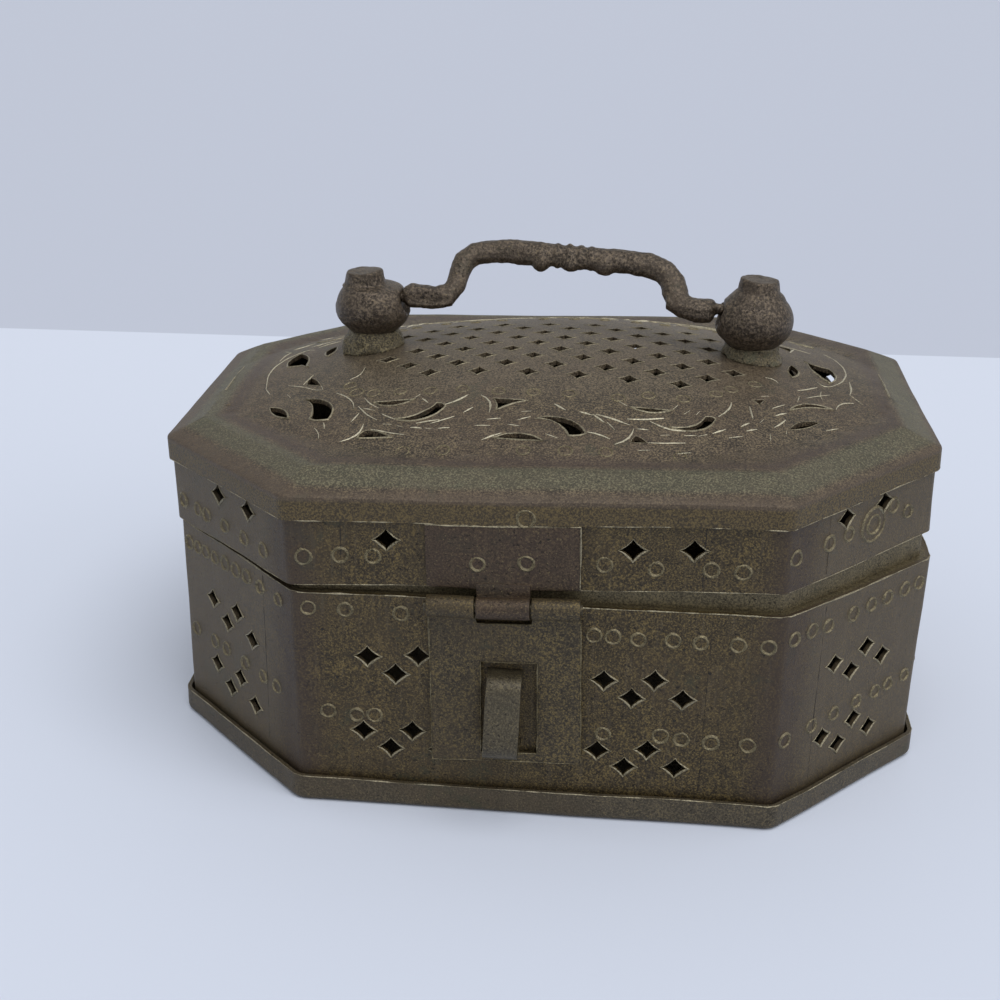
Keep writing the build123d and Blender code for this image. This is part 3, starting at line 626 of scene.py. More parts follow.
def makeLidTop():
    shape = nodeCopy("lid_top")
    back = lidMatrix.inverted()
    cutGrid(shape, 3.0, "xy")
    for v in shape.verts:
        spot = back @ v.co / mm
        for thinner in (0, dome["sheet"]):
            crown = lidHeight(spot.x, spot.y, thinner)
            if spot.z > dome["ridge"] - 0.5 and abs(spot.z - crown) < 0.25:
                spot.z = crown
        v.co = hammered(lidMatrix @ (spot * mm))
    addPiece("lidDome", shape, lidBrass, "lid", ["lid_top"])


makeSheets()
makeLidTop()


# Raised burrs round the pierced holes

burrs = {"longest": 45.0, "least": 0.05, "most": 0.22, "step": 0.5, "wander": 0.07, "aside": 0.13, "field": 14.5,
         "flapX": -5.0, "flapHalf": 8.0}


def edgeRings(shape, isSkin, longest=burrs["longest"]):
    # Closed rings of sharp edges between the outer skin and the walls of the holes
    links = {}
    for edge in shape.edges:
        if len(edge.link_faces) != 2 or edge.calc_face_angle(0) < 0.9:
            continue
        if isSkin(edge.link_faces[0]) == isSkin(edge.link_faces[1]):
            continue
        for v in edge.verts:
            links.setdefault(v, []).append(edge)
    rings = []
    seen = set()
    for start in list(links):
        if start in seen:
            continue
        ring = [start]
        seen.add(start)
        here = start
        while True:
            ahead = [e.other_vert(here) for e in links[here] if e.other_vert(here) not in seen]
            if not ahead:
                break
            here = ahead[0]
            seen.add(here)
            ring.append(here)
        closed = any(e.other_vert(here) is start for e in links[here])
        size = sum((a.co - b.co).length for a, b in zip(ring, ring[1:] + ring[:1]))
        if closed and len(ring) > 3 and size < longest * mm:
            rings.append([v.co.copy() for v in ring])
    return rings


def burrRun(ring, low, weight):
    # A ragged rim just outside a hole's edge, thicker on the side that the punch pushed out
    middle = sum(ring, Vector()) / len(ring)
    points = []
    for a, b in zip(ring, ring[1:] + ring[:1]):
        count = max(1, int((b - a).length / (burrs["step"] * mm)))
        for i in range(count):
            place = a.lerp(b, i / count)
            side = (place - middle).normalized().dot(low)
            wander = noise.noise_vector(place / (0.9 * mm)) * burrs["wander"] * mm
            share = 0.5 + 0.5 * noise.noise(place / (1.7 * mm) + Vector((5, 5, 5)))
            share = min(1.0, max(0.0, 0.25 + 0.75 * share + 0.45 * side))
            radius = (burrs["least"] + (burrs["most"] - burrs["least"]) * share) * weight
            aside = (place - middle).normalized() * max(burrs["aside"], radius * 0.8) * mm
            points.append((hammered(place) + aside + wander * weight, radius))
    return points, True


def makeBurrs():
    down = Vector((0.35, 0, -0.94))

    def onWall(face):
        return abs(face.normal.z) < 0.2 and wallDepth(face.calc_center_median()) > -0.1

    def onDome(face):
        return face.normal.z > 0.5

    def wallDepth(point, matrix=None):
        # How far a point is out from the body's eight walls, in millimetres: about 0 on the outer skin
        spot = (matrix @ point if matrix else point) / mm
        x, y = abs(spot.x), abs(spot.y)
        slant = (x + y - plan["halfLength"] - plan["halfDepth"] + plan["cut"]) / math.sqrt(2)
        return max(x - plan["halfLength"], y - plan["halfDepth"], slant)

    back = lidMatrix.inverted()

    def onSkirt(face):
        return abs(face.normal.z) < 0.2 and wallDepth(face.calc_center_median(), back) > -0.1

    jobs = [
        ("wallBurrs", "body_wall", onWall, "box", "sheet_brass", down),
        ("skirtBurrs", "lid_skirt", onSkirt, "lid", "sheet_brass", down),
        ("domeBurrs", "lid_top", onDome, "lid", "lid_brass", Vector((0.2, -0.9, 0))),
    ]
    for name, node, isSkin, body, slotName, low in jobs:
        shape = nodeCopy(node)
        shape.normal_update()
        rings = edgeRings(shape, isSkin)
        runs = []
        for ring in rings:
            middle = sum(ring, Vector()) / len(ring)
            if abs(middle.x - burrs["flapX"] * mm) < burrs["flapHalf"] * mm and node == "body_wall" and middle.y < 0:
                continue  # the staple's own slots, behind the hasp's flap
            girth = sum((a - b).length for a, b in zip(ring, ring[1:] + ring[:1])) / mm
            weight = 0.4 if node == "lid_top" and girth < burrs["field"] else 1.0
            runs.append(burrRun(ring, low, weight))
        shape.free()
        print(name, len(rings), "rings")
        addPiece(name, wireShape(runs), burrBrass, body, sharpest=80)


makeBurrs()


# Stamped rings and chased strokes

stamps = {"radius": 1.28, "lidRadius": 1.18, "lidWeight": 0.6, "points": 14, "thick": 0.33, "least": 0.14}
# Rows of stamped rings: wall, heights at the row's two ends, places along the wall from its middle
wallRings = [
    ("front", 38.6, 38.2, [-39.3, -33, -23.4]),
    ("front", 36.3, 35.6, [9.6, 12.9, 17.3, 23.2, 28, 34.3, 39.3]),
    ("front", 18.2, 17.6, [-36.6, -31.5, -28.3]),
    ("front", 17.2, 16.2, [12, 22.1, 25.8, 31, 37.3]),
    ("rightFront", 36.6, 37.2, [-17.2, -12.6, -8.3, -1.6, 3.4, 8, 13, 17.2]),
    ("rightFront", 17.0, 18.2, [-17.2, -10.1, -3.9, 2.4, 7.8, 11.7, 16.8]),
    ("leftFront", 37.4, 38.0, [-17.2, -14.0, -11.0, -7.6, -3.8, 0, 3.9, 8.7, 14.7]),
    ("leftFront", 19.0, 19.4, [-16.8, -9.8, -5.3, 1.7, 8, 12.7]),
    ("right", 37.6, 37.2, [-22.5, -17, -11.4, -5.2, 0.4, 6.6, 12.1, 18.3, 23.4]),
    ("right", 19.6, 19.0, [-23, -15.5, -8, -1.2, 5.5, 12.8, 21]),
    ("left", 37.0, 37.6, [-23, -17.4, -10.9, -5.6, 0.7, 5.8, 12.3, 17.5, 23]),
    ("left", 19.2, 19.8, [-22.4, -14.7, -7.1, 0.6, 8.2, 15.3, 22.2]),
    ("rightBack", 37.4, 37.2, [-16.5, -11.2, -5.1, 0.6, 6.2, 11.9, 16.8]),
    ("rightBack", 19.4, 19.0, [-16, -8.4, -0.7, 7.3, 15.4]),
    ("leftBack", 37.2, 37.6, [-16.9, -10.8, -5.7, 0.2, 6.6, 11.4, 17]),
    ("leftBack", 19.2, 19.6, [-15.5, -7.9, 0.4, 8.1, 15.6]),
    ("back", 37.4, 37.0, [-21.5, -16.8, -11, -5.7, 0.3, 5.6, 11.4, 16.5, 21.8]),
    ("back", 19.6, 19.2, [-38, -32.4, -13.5, -9.8, 11, 14.4, 33.5, 38.6]),
]
skirtRings = [
    ("front", 5.4, 5.4, [-39, -32.8, -27.3]),
    ("front", 4.6, 3.8, [11.7, 20.3, 29.5, 34.7]),
    ("rightFront", 6.1, 6.6, [-17.6, -9.1, -3.8]),
    ("rightFront", 8.3, 6.0, [8.2, 12.5]),
    ("leftFront", 4.3, 3.6, [-16.8, -11.3, -8, -1.5, 5.2, 11.7]),
    ("right", 4.4, 4.0, [-22, -16.5, -5, 1.5, 7.5, 19, 23]),
    ("left", 4.2, 4.6, [-22.5, -16, -5.5, 0.8, 6.2, 18, 23]),
    ("rightBack", 4.4, 4.2, [-16, -10, 9.6, 15.8]),
    ("leftBack", 4.2, 4.5, [-15.6, -9.7, 10.2, 16]),
    ("back", 4.6, 4.2, [-13.5, -8.4, 8.6, 13.8]),
]
lidRings = [
    (-37, -17.3), (-35.2, -20.4), (-31.9, -21.4), (-26.9, -21.8), (-21.1, -22.8), (-15.1, -23), (-8.4, -24.1),
    (-2, -24.3), (4.3, -24.3), (13.3, -24.8), (18.7, -23.2), (24.9, -23.6), (30.8, -20.7), (33.6, -18.2), (38.1, -14.7),
    (-31.6, -40.2), (-23.6, -40.9), (-16.5, -41.1), (-2.6, -41.4), (4.5, -41.4), (11.3, -41.3), (24, -41),
]
# Strokes of the graver on the lid: weight, then the points that each one passes
lidStrokes = [
    (2, [(-39.2, -19.6), (-36.7, -21.8), (-35.1, -24.1), (-34.8, -26.2)]),
    (2, [(-34.1, -25.7), (-31.9, -29.2), (-29.7, -31.1)]),
    (2, [(-29.1, -29.2), (-27.6, -30.7), (-26.1, -31.6)]),
    (2, [(-33.3, -23), (-32, -25.5), (-30, -27.2)]),
    (1, [(-33.1, -26.6), (-30.7, -27.8)]),
    (2, [(-33.5, -28.2), (-34, -29.7), (-34.5, -30.9)]),
    (3, [(-35.5, -36.6), (-33.6, -36.4), (-32.6, -35.6), (-31.9, -33.5), (-32, -32)]),
    (2, [(-30.4, -33.9), (-28.3, -34.8), (-26, -35.9), (-23.9, -36.4)]),
    (2, [(-28.4, -32.6), (-26.7, -33)]),
    (2, [(-25.7, -33.6), (-24.6, -34.1)]),
    (2, [(-23.1, -34.5), (-20.9, -35)]),
    (2, [(-20.2, -35.1), (-19.1, -35.3)]),
    (2, [(-22.2, -33.4), (-19.7, -33.1), (-18, -32.7)]),
    (2, [(-23.7, -24.8), (-22.8, -23.8)]),
    (3, [(-22.2, -25.4), (-21.6, -25.8), (-20.8, -27.2)]),
    (1, [(-50, -12.4), (-45.9, -14.9), (-43.5, -17.5), (-42.3, -17.4)]),
    (3, [(-46.8, -13.4), (-46.2, -11.7), (-45.6, -9.3)]),
    (2, [(-42.8, -15.5), (-42.2, -17.3)]),
    (1, [(-49.3, -16.7), (-48.3, -18.3)]),
    (1, [(-47, -34.9), (-42.9, -36.7), (-40.7, -38.8), (-39.7, -40.1)]),
    (1, [(-37.5, -14.6), (-35.7, -13.8), (-35.4, -9)]),
    (2, [(-39.7, -29.9), (-38.9, -31.2), (-39.1, -32.1)]),
    (1, [(-41.1, -31.3), (-39.5, -33.5), (-39.6, -34.9)]),
    (3, [(-17.6, -28.1), (-15.9, -27.7), (-13.8, -25.3)]),
    (2, [(-14, -31), (-12.4, -29.4)]),
    (2, [(-19.6, -33.8), (-17.8, -33.2), (-15.5, -32)]),
    (2, [(-18, -35.3), (-15.9, -35.2)]),
    (3, [(-11.4, -25.5), (-9.9, -26.3), (-9.1, -29), (-9.3, -31)]),
    (1, [(-3.6, -30.9), (-1.9, -30.7)]),
    (2, [(-9.5, -33.1), (-7.1, -32.8)]),
    (1, [(-11.5, -34.8), (-8.7, -34.9)]),
    (1, [(-5.7, -34.6), (-3.6, -35.1)]),
    (1, [(-4.1, -33.4), (-1.9, -32.4)]),
    (3, [(1.9, -28.1), (4.1, -30)]),
    (3, [(6.5, -30.2), (8.8, -31.1)]),
    (3, [(8.9, -30.8), (11, -33.1)]),
    (3, [(9.4, -30.7), (11.9, -31.6), (15.4, -33.4)]),
    (2, [(11.5, -33), (12.8, -35)]),
    (3, [(8.1, -36.2), (9.6, -36.3), (12, -37.8)]),
    (1, [(0.9, -37.1), (3.1, -38.2)]),
    (3, [(-9.9, -38.8), (-8.4, -37.8), (-6.6, -37)]),
    (3, [(12.8, -39.2), (14.6, -38.6), (15.5, -37.2), (16.1, -34.4)]),
    (2, [(16.6, -34.4), (18.7, -34.5)]),
    (2, [(18.6, -38.1), (21.4, -38), (25.1, -37.3)]),
    (3, [(14.9, -31.6), (17.6, -31.7), (19.8, -31.1), (21.4, -30.7)]),
    (3, [(19, -31.9), (20.7, -33.3), (22.6, -34.2), (25.1, -34)]),
    (3, [(13.6, -26.2), (14.9, -27.4)]),
    (3, [(23, -27.6), (23.9, -26.1)]),
    (2, [(24.9, -28.9), (26, -27.5)]),
    (2, [(27.1, -28.6), (27.7, -27.4)]),
    (1, [(16.8, -40.4), (18.9, -40)]),
    (1, [(23.5, -40.4), (25.9, -39.7)]),
    (1, [(20.7, -35.8), (22.3, -35.5)]),
    (1, [(24.8, -35.3), (27, -34.9)]),
    (3, [(30.9, -28.6), (32.2, -27.2), (33.2, -25.5), (33.4, -23.3)]),
    (2, [(36.6, -23.8), (36.7, -25.2), (37, -27.8)]),
    (3, [(34.8, -30.9), (36.3, -29.4)]),
    (3, [(29.7, -33.9), (32.1, -32.3)]),
    (2, [(27.2, -35.1), (28.8, -34.3)]),
    (2, [(35.7, -32), (37.6, -31)]),
    (2, [(38.1, -28.9), (38.9, -27.5)]),
    (2, [(40.6, -23.4), (43.1, -21)]),
    (3, [(41.1, -25.7), (43.2, -24.1)]),
    (3, [(40.6, -29.6), (42.2, -27.9), (42.9, -26.4)]),
    (2, [(42.7, -31), (42.8, -29.9)]),
    (2, [(52.4, -18.9), (52.9, -16.8), (54, -15.4), (56.1, -14.6)]),
    (2, [(50.1, -8.2), (50.9, -10.5), (52.3, -9.7), (55.2, -5.3), (56.6, -0.2), (56.7, 4.8), (55.5, 12)]),
    (3, [(56.6, -4.4), (56.4, -9.2), (55.8, -11.2)]),
    (1, [(38.9, -19.4), (40.3, -18.8)]),
    (2, [(45.9, -14.4), (47.6, -13.3), (49.8, -11)]),
    (1, [(47.3, -16.8), (49.1, -15.3), (51.9, -13.2)]),
    (1, [(46, -16.6), (45.5, -19)]),
    (1, [(50.4, -12.4), (49.8, -15), (50.3, -16.2)]),
    (1, [(40.2, -10.7), (41.9, -10.4), (42.5, -12.7)]),
    (1, [(32.5, -34.6), (35, -33.7)]),
    (1, [(39.8, -31.7), (39.8, -33.8)]),
    (1, [(49.9, -27.3), (52.3, -25.6)]),
    (1, [(55.8, -11.2), (56.9, -13), (57.8, -14.1)]),
    (1, [(54, 15.3), (55.5, 12)]),
]
engraving = {"weights": {1: 0.13, 2: 0.185, 3: 0.245}, "step": 1.0, "taper": 0.35, "back": 0.5}


def ringRun(at, seed, radius=0.0, weight=1.0):
    # A stamped circle: at turns a place in the circle into a point on the surface
    points = []
    size = (radius or stamps["radius"]) * (1 + 0.12 * noise.noise(Vector((seed, 0.5, 0.5))))
    for i in range(stamps["points"]):
        angle = 2 * math.pi * i / stamps["points"]
        bent = size * (1 + 0.10 * noise.noise(Vector((seed, math.cos(angle), math.sin(angle)))))
        faint = noise.noise(Vector((1.2 * math.cos(angle), 1.2 * math.sin(angle), seed * 1.7)))
        thick = stamps["least"] + (stamps["thick"] - stamps["least"]) * min(1.0, max(0.0, 0.6 + 1.1 * faint))
        points.append((hammered(at(bent * math.cos(angle), bent * math.sin(angle))), thick * weight))
    return points, True


def strokeRun(weight, spots, at):
    # An open cut that swells in its middle and tapers to its ends
    width = engraving["weights"][weight]
    path = []
    for a, b in zip(spots, spots[1:]):
        count = max(1, int(math.dist(a, b) / engraving["step"]))
        for i in range(count):
            path.append((a[0] + (b[0] - a[0]) * i / count, a[1] + (b[1] - a[1]) * i / count))
    path.append(spots[-1])
    for _ in range(2):
        ends = path[0], path[-1]
        inner = [((a[0] + 2 * b[0] + c[0]) / 4, (a[1] + 2 * b[1] + c[1]) / 4)
                 for a, b, c in zip(path, path[1:], path[2:])]
        path = [ends[0], *inner, ends[1]]
    last = len(path) - 1
    points = []
    for i, (x, y) in enumerate(path):
        swell = 1 - (1 - engraving["taper"]) * abs(2 * i / last - 1) ** 1.5
        swell *= 0.85 + 0.3 * noise.noise(Vector((x, y, weight)) / 1.5)
        points.append((hammered(at(x, y)), width * swell))
    return points, False


def ringRows(rows, place):
    runs = []
    for wall, first, last, spots in rows:
        turn = wallTurns[wall]
        for i, u in enumerate(spots):
            seed = turn * 0.37 + i * 3.1 + first
            z = first + (last - first) * i / (len(spots) - 1) + 0.5 * noise.noise(Vector((seed, 1, 2)))
            runs.append(ringRun(lambda a, b: place(turn, u + a, z + b), seed))
    return runs


def makeStamps():
    addPiece("wallStamps", wireShape(ringRows(wallRings, wallPoint)), ringBrass, "box", sharpest=80)
    rows = ringRows(skirtRings, skirtPoint)
    turn = wallTurns["rightFront"]
    for radius in (1.7, 3.2):
        rows.append(ringRun(lambda a, b: skirtPoint(turn, 2.9 + a, 6.3 + b), radius, radius))
    rows.append(ringRun(lambda a, b: skirtPoint(0, -1.2 + a, 13.4 + b, dome["sheet"]), 4.4, 1.5))
    for x, z in ((-9.2, 4.9), (-1.1, 5.4)):
        rows.append(ringRun(lambda a, b: skirtPoint(0, x + a, z + b, dome["sheet"]), x, 1.2))
    addPiece("skirtStamps", wireShape(rows), ringBrass, "lid", sharpest=80)
    runs = []
    for i, (x, y) in enumerate(lidRings):
        size = stamps["lidRadius"], stamps["lidWeight"]
        runs.append(ringRun(lambda a, b: lidPoint(x + a, y + b), i * 2.3, *size))
        runs.append(ringRun(lambda a, b: lidPoint(2 * engraving["back"] - x + a, -y + b), i * 1.9 + 50, *size))
    addPiece("lidStamps", wireShape(runs), ringBrass, "lid", sharpest=80)
    runs = []
    for weight, spots in lidStrokes:
        runs.append(strokeRun(weight, spots, lidPoint))
        runs.append(strokeRun(weight, [(2 * engraving["back"] - x, -y) for x, y in spots], lidPoint))
    addPiece("lidStrokes", wireShape(runs), strokeBrass, "lid", sharpest=80)


makeStamps()


# Bright metal on the folded edges, partly bare worn metal and partly painted highlight where the edges catch the light;
# dark scribed lines and small dents
wearAndHighlight = {
    "step": 0.9, "short": 1.0, "sink": 0.04,
    "halves": {"front": 41.8, "right": 25.9, "rightFront": 19.8},
    # Height and distance out of each edge that runs right round, with its least and most thickness
    "bodyTop": (41.35, 0.0, 0.05, 0.21),
    "trayRim": (5.0, 1.35, 0.03, 0.15),
    "flangeFoot": (12.05, 0.75, 0.03, 0.17),
    "skirtFoot": (0.05, 0.0, 0.02, 0.11),
    # The hasp's upper leaf, along the front of the skirt
    "leaf": {"left": -18.0, "right": 7.8, "top": 11.9, "low": 0.6, "out": 0.85},
    # The outline of the hasp's flap and of its slot, a painted highlight along edges that catch the light
    "flap": {"longest": 170.0, "least": 0.03, "most": 0.16},
    # Scribed lines that run up a wall: wall, place along it, foot, head
    "bodyScribes": [("front", 29.4, 6.5, 40.6), ("rightFront", -9.8, 6.5, 40.6), ("leftFront", 9.4, 7.0, 40.6)],
    "skirtScribes": [("front", 28.2, 0.8, 11.6), ("front", -32.8, 1.0, 11.6), ("rightFront", -9.4, 0.8, 11.6)],
    "scribeRadius": 0.11,
    "dents": [(-37, 34.5), (-34.7, 25), (25.2, 34.5), (29.9, 30.2), (24.4, 20.6), (-29.2, 22.4)],
    "dentRadius": 0.33,
}


def edgeRun(path, least, most, seed, closed=False):
    # Patches of bright metal along an edge, worn metal and painted highlight, thinning away to almost nothing between
    # them
    points = []
    for place in path:
        share = 0.35 + 1.3 * noise.noise(place / (5.0 * mm) + Vector((seed, 0, 0)))
        share += 0.7 * noise.noise(place / (1.1 * mm) + Vector((0, seed, 0)))
        wander = noise.noise_vector(place / (0.8 * mm)) * 0.03 * mm
        points.append((hammered(place) + wander, least + (most - least) * min(1.0, max(0.0, share))))
    return points, closed


def roundPath(place, z, out):
    path = []
    for name, turn in wallTurns.items():
        kind = {0: "front", 90: "right"}.get(turn % 180, "rightFront")
        half = wearAndHighlight["halves"][kind] + out * math.tan(math.radians(22.5)) - wearAndHighlight["short"]
        count = int(2 * half / wearAndHighlight["step"])
        path.extend(place(turn, -half + 2 * half * i / count, z, out) for i in range(count + 1))
    return path


def straightPath(place, turn, start, end, out):
    count = max(2, int(math.dist(start, end) / wearAndHighlight["step"]))
    steps = [i / count for i in range(count + 1)]
    return [place(turn, start[0] + (end[0] - start[0]) * t, start[1] + (end[1] - start[1]) * t, out) for t in steps]


def makeWearAndHighlight():
    edges = [("bodyTop", wallPoint, "box"), ("trayRim", wallPoint, "box"),
             ("flangeFoot", skirtPoint, "lid"), ("skirtFoot", skirtPoint, "lid")]
    for seed, (name, place, body) in enumerate(edges):
        z, out, least, most = wearAndHighlight[name]
        # Bright worn metal and painted highlight along each edge that runs right round
        run = edgeRun(roundPath(place, z, out), least, most, seed * 4.1, True)
        addPiece(name + "WearAndHighlight", wireShape([run]), burrBrass, body, sharpest=80)
    # The leaf's top and right edges: worn metal and painted highlight
    leaf = wearAndHighlight["leaf"]
    corners = [(leaf["left"], leaf["top"]), (leaf["right"], leaf["top"]), (leaf["right"], leaf["low"])]
    runs = [edgeRun(straightPath(skirtPoint, 0, a, b, leaf["out"]), 0.03, 0.17, 9.0) for a, b in zip(corners, corners[1:])]
    addPiece("leafWearAndHighlight", wireShape(runs), burrBrass, "lid", sharpest=80)
    shape = nodeCopy("hasp_flap")
    shape.normal_update()
    runs = []
    # Painted highlight: a bright line round the flap's front face where its edges catch the light
    for ring in edgeRings(shape, lambda face: face.normal.y < -0.9, wearAndHighlight["flap"]["longest"]):
        path = []
        for a, b in zip(ring, ring[1:] + ring[:1]):
            count = max(1, int((b - a).length / (wearAndHighlight["step"] * mm)))
            path.extend(a.lerp(b, i / count) for i in range(count))
        runs.append(edgeRun(path, wearAndHighlight["flap"]["least"], wearAndHighlight["flap"]["most"], 17.0, True))
    shape.free()
    print("flapWearAndHighlight", len(runs), "rings")
    addPiece("flapWearAndHighlight", wireShape(runs), ringBrass, "hasp", sharpest=80)
    for name, place, body in (("bodyScribes", wallPoint, "box"), ("skirtScribes", skirtPoint, "lid")):
        runs = []
        for wall, u, low, high in wearAndHighlight[name]:
            path = straightPath(place, wallTurns[wall], (u, low), (u + 0.3, high), -wearAndHighlight["sink"])
            runs.append(edgeRun(path, wearAndHighlight["scribeRadius"] * 0.6, wearAndHighlight["scribeRadius"], u))
        if body == "box":
            for x, z in wearAndHighlight["dents"]:
                path = [wallPoint(0, x, z, out) for out in (-0.3, 0.06)]
                runs.append(([(hammered(spot), wearAndHighlight["dentRadius"]) for spot in path], False))
        addPiece(name, wireShape(runs), grime, body, sharpest=80)


makeWearAndHighlight()


# Posts with their solder collars
posts = {
    "voxel": 0.33, "spans": [(7.0, 0.30), (2.2, 0.13), (0.9, 0.07)], "x": 37.1, "pivot": 34.5,
    "globeMiddle": 32.6, "globeHalf": 6.2, "capFrom": 36.2, "capBlend": 1.6,
}
postLooks = {
    "left": {"side": -1, "globe": 7.3, "cap": (-1.7, 0.2, -0.7), "capTilt": 0.05},
    "right": {"side": 1, "globe": 7.6, "cap": (0.7, -0.1, 0.5), "capTilt": -0.07},
}
collars = {"voxel": 0.3, "spans": [(3.5, 0.5), (1.4, 0.26), (0.6, 0.1)]}


def makePosts():
    back = handleMatrix.inverted()
    for name, look in postLooks.items():
        shape = castSkin(nodeCopy(name + "_post"), posts["voxel"])
        bmesh.ops.smooth_vert(shape, verts=shape.verts, factor=0.5, use_axis_x=True, use_axis_y=True, use_axis_z=True)
        roughen(shape, posts["spans"])
        middle = look["side"] * posts["x"]
        for v in shape.verts:
            spot = back @ v.co / mm
            outward = (spot.x - middle) * look["side"]
            # The seat that faces the bail keeps its place
            free = min(1.0, max(0.0, (outward + 5.6) / 3.0))
            climb = (spot.z - posts["globeMiddle"]) / posts["globeHalf"]
            globe = look["globe"] * math.sqrt(max(0.0, 1 - climb * climb))
            reach = math.hypot(spot.x - middle, spot.y)
            grow = 1 + (max(1.0, globe / max(reach, 3.0)) - 1) * free
            spot.x = middle + (spot.x - middle) * grow
            spot.y *= grow
            lift = min(1.0, max(0.0, (spot.z - posts["capFrom"]) / posts["capBlend"]))
            lift = lift * lift * (3 - 2 * lift)
            tilt = (spot.x - middle) * look["capTilt"]
            spot += (Vector(look["cap"]) + Vector((0, 0, tilt))) * lift
            v.co = handleMatrix @ (spot * mm)
        addPiece(name + "PostKnob", shape, castBrass, "lid", [name + "_post"], sharpest=70)
        shape = castSkin(nodeCopy(name + "_post_collar"), collars["voxel"])
        roughen(shape, collars["spans"])
        addPiece(name + "PostSolder", shape, solderBrass, "lid", [name + "_post_collar"], sharpest=70)


makePosts()


# Bail handle

bail = {
    "voxel": 0.3,
    "spans": [(6.0, 0.22), (2.0, 0.14), (0.8, 0.08)],
    "flat": 0.80,
    # Along the pivots' line, reach from it, and width of the cast bar
    "bar": [(-24.0, 0.7, 4.2), (-22.0, 1.0, 4.5), (-20.9, 3.0, 4.4), (-20.5, 6.0, 4.4), (-19.8, 8.6, 4.6),
            (-17.8, 10.4, 4.7), (-15.0, 11.0, 4.9), (-11.0, 11.2, 5.0), (-7.0, 10.9, 5.2), (-3.0, 10.6, 4.6),
            (0.0, 10.5, 4.5), (3.0, 10.3, 4.5), (6.5, 10.0, 4.9), (9.5, 9.9, 5.2), (13.0, 9.7, 5.0),
            (16.5, 9.1, 4.8), (19.4, 7.9, 4.8), (21.3, 5.6, 4.9), (21.9, 3.2, 5.0), (22.7, 1.0, 4.9), (24.6, 0.1, 4.4)],
    # Each lug: along the line, across it, height, thickness
    "lugs": [
        [(-31.0, 0.6, 3.2, 2.8), (-29.8, 0.5, 5.3, 3.9), (-27.0, 0.2, 5.0, 4.0), (-24.0, 0.0, 4.6, 3.8),
         (-21.0, 0.2, 3.8, 3.2)],
        [(29.6, 0.0, 3.6, 3.0), (28.8, -0.4, 5.0, 3.9), (26.2, -0.5, 5.0, 4.0), (22.8, 0.2, 4.6, 3.9),
         (20.2, 1.2, 3.2, 3.4)],
    ],
    # Lumps on the grip: along, reach, radius along the bar, radius across it
    "lumps": [(-1.4, 10.55, 1.15, 2.62), (0.9, 10.5, 1.15, 2.62), (3.1, 10.4, 1.15, 2.62), (5.2, 10.2, 1.15, 2.65),
              (-4.6, 9.7, 2.2, 2.6), (1.2, 9.5, 2.3, 2.3), (8.0, 9.1, 2.4, 2.6)],
    # The chip broken out of the left lug's front: its place and its size
    "chip": {"place": (-25.6, -1.7, 2.0), "size": (3.4, 1.0, 0.9)},
    "pivotRadius": 1.1,
    "pivotReach": 34.2,
    "pivotLength": 6.0,
}


def makeBail():
    shape = wireShape([([(Vector((x, y, 0)) * mm, width / 2) for x, y, width in bail["bar"]], False)], sides=4)
    for v in shape.verts:
        v.co.z *= bail["flat"]
    for along, reach, half, radius in bail["lumps"]:
        made = bmesh.ops.create_icosphere(shape, subdivisions=3, radius=mm)
        bmesh.ops.scale(shape, vec=(half, radius, radius * bail["flat"]), verts=made["verts"])
        bmesh.ops.translate(shape, vec=Vector((along, reach, 0)) * mm, verts=made["verts"])
    for stations in bail["lugs"]:
        rings = []
        for x, y, height, thick in stations:
            made = bmesh.ops.create_circle(shape, segments=8, radius=mm / 2)
            turn = Matrix.Rotation(math.radians(90), 4, "Y") @ Matrix.Rotation(math.radians(22.5), 4, "Z")
            bmesh.ops.transform(shape, matrix=turn, verts=made["verts"])
            bmesh.ops.scale(shape, vec=(1, height, thick), verts=made["verts"])
            bmesh.ops.translate(shape, vec=Vector((x, y, 0)) * mm, verts=made["verts"])
            rings.append(list({e for v in made["verts"] for e in v.link_edges}))
        for a, b in zip(rings, rings[1:]):
            bmesh.ops.bridge_loops(shape, edges=a + b)
        bmesh.ops.contextual_create(shape, geom=rings[0])
        bmesh.ops.contextual_create(shape, geom=rings[-1])
    for side in (-1, 1):
        middle = Vector((side * (bail["pivotReach"] - bail["pivotLength"] / 2), 0, 0)) * mm
        bmesh.ops.create_cone(
            shape, cap_ends=True, segments=16, radius1=bail["pivotRadius"] * mm, radius2=bail["pivotRadius"] * mm,
            depth=bail["pivotLength"] * mm,
            matrix=Matrix.Translation(middle) @ Matrix.Rotation(math.radians(90), 4, "Y"),
        )
    bmesh.ops.recalc_face_normals(shape, faces=shape.faces)
    shape = castSkin(shape, bail["voxel"])
    bmesh.ops.smooth_vert(shape, verts=shape.verts, factor=0.5, use_axis_x=True, use_axis_y=True, use_axis_z=True)
    roughen(shape, bail["spans"])
    chip = bail["chip"]
    for v in shape.verts:
        off = [(a / mm - b) / c for a, b, c in zip(v.co, chip["place"], chip["size"])]
        near = max(0.0, 1 - sum(part * part for part in off) / 4)
        v.co -= v.normal * near * 0.7 * mm
    bmesh.ops.transform(shape, matrix=bailMatrix, verts=shape.verts)
    addPiece("bailCasting", shape, castBrass, "bail", ["bail_handle"], sharpest=70)


makeBail()


# Hasp, staple and back hinges

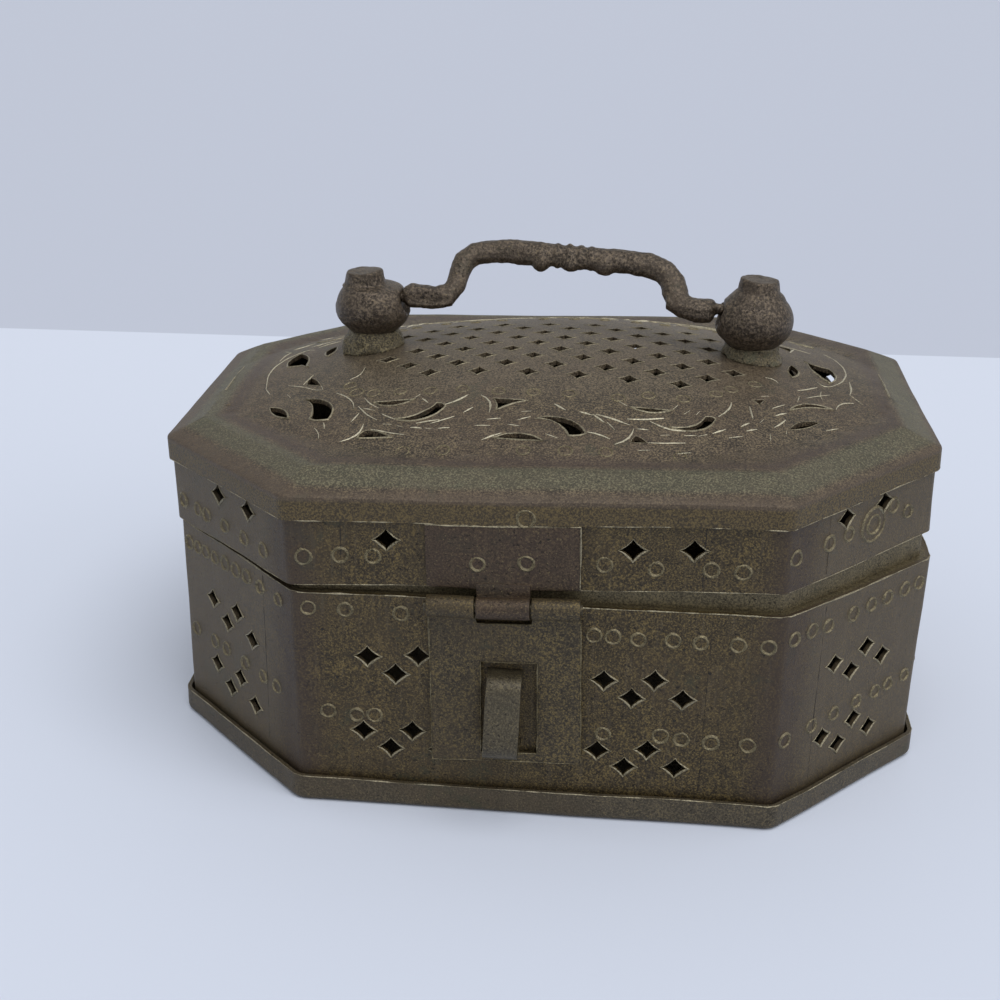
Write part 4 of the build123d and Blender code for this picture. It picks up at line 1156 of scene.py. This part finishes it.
fittings = [
    {"name": "haspLeafPlate", "node": "hasp_lid_leaf", "finish": "leaf", "body": "lid", "soft": 0.16, "grid": 1.6},
    {"name": "haspFlapPlate", "node": "hasp_flap", "finish": "flap", "body": "hasp", "soft": 0.16, "grid": 1.6},
    {"name": "stapleStrip", "node": "hasp_staple", "finish": "staple", "body": "box", "soft": 0.2, "grid": 1.2},
    {"name": "leftHingeLidPlate", "node": "left_hinge_lid_leaf", "finish": "leaf", "body": "lid", "soft": 0.14, "grid": 2.0},
    {"name": "rightHingeLidPlate", "node": "right_hinge_lid_leaf", "finish": "leaf", "body": "lid", "soft": 0.14, "grid": 2.0},
    {"name": "leftHingeBodyPlate", "node": "left_hinge_body_leaf", "finish": "flap", "body": "box", "soft": 0.14, "grid": 2.0},
    {"name": "rightHingeBodyPlate", "node": "right_hinge_body_leaf", "finish": "flap", "body": "box", "soft": 0.14, "grid": 2.0},
]
fittingFinishes = {"leaf": fittingBrass, "flap": flapBrass, "staple": stapleBrass}


crown = {"height": 2.6, "narrowing": 0.4, "reach": 2.5}


def roundCrown(shape):
    # The staple's strip narrows to a rounded head in front, and keeps its width where it enters the wall
    top = max(v.co.z for v in shape.verts)
    front = min(v.co.y for v in shape.verts)
    sides = [v.co.x for v in shape.verts]
    middle = (min(sides) + max(sides)) / 2
    for v in shape.verts:
        climb = max(0.0, (v.co.z - top) / (crown["height"] * mm) + 1)
        climb *= max(0.0, 1 - (v.co.y - front) / (crown["reach"] * mm))
        v.co.x = middle + (v.co.x - middle) * math.sqrt(1 - crown["narrowing"] * climb * climb)


def makeFittings():
    for piece in fittings:
        shape = nodeCopy(piece["node"])
        softenEdges(shape, piece["soft"])
        bmesh.ops.triangulate(shape, faces=shape.faces)
        cutGrid(shape, piece["grid"])
        if piece["finish"] == "staple":
            roundCrown(shape)
        for v in shape.verts:
            v.co = hammered(v.co)
        finish = fittingFinishes[piece["finish"]]
        addPiece(piece["name"], shape, finish, piece["body"], [piece["node"]], sharpest=40)


makeFittings()


# The CAD nodes that stay

for name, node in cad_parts.items():
    node.data.materials.clear()
    node.data.materials.append(stapleBrass)
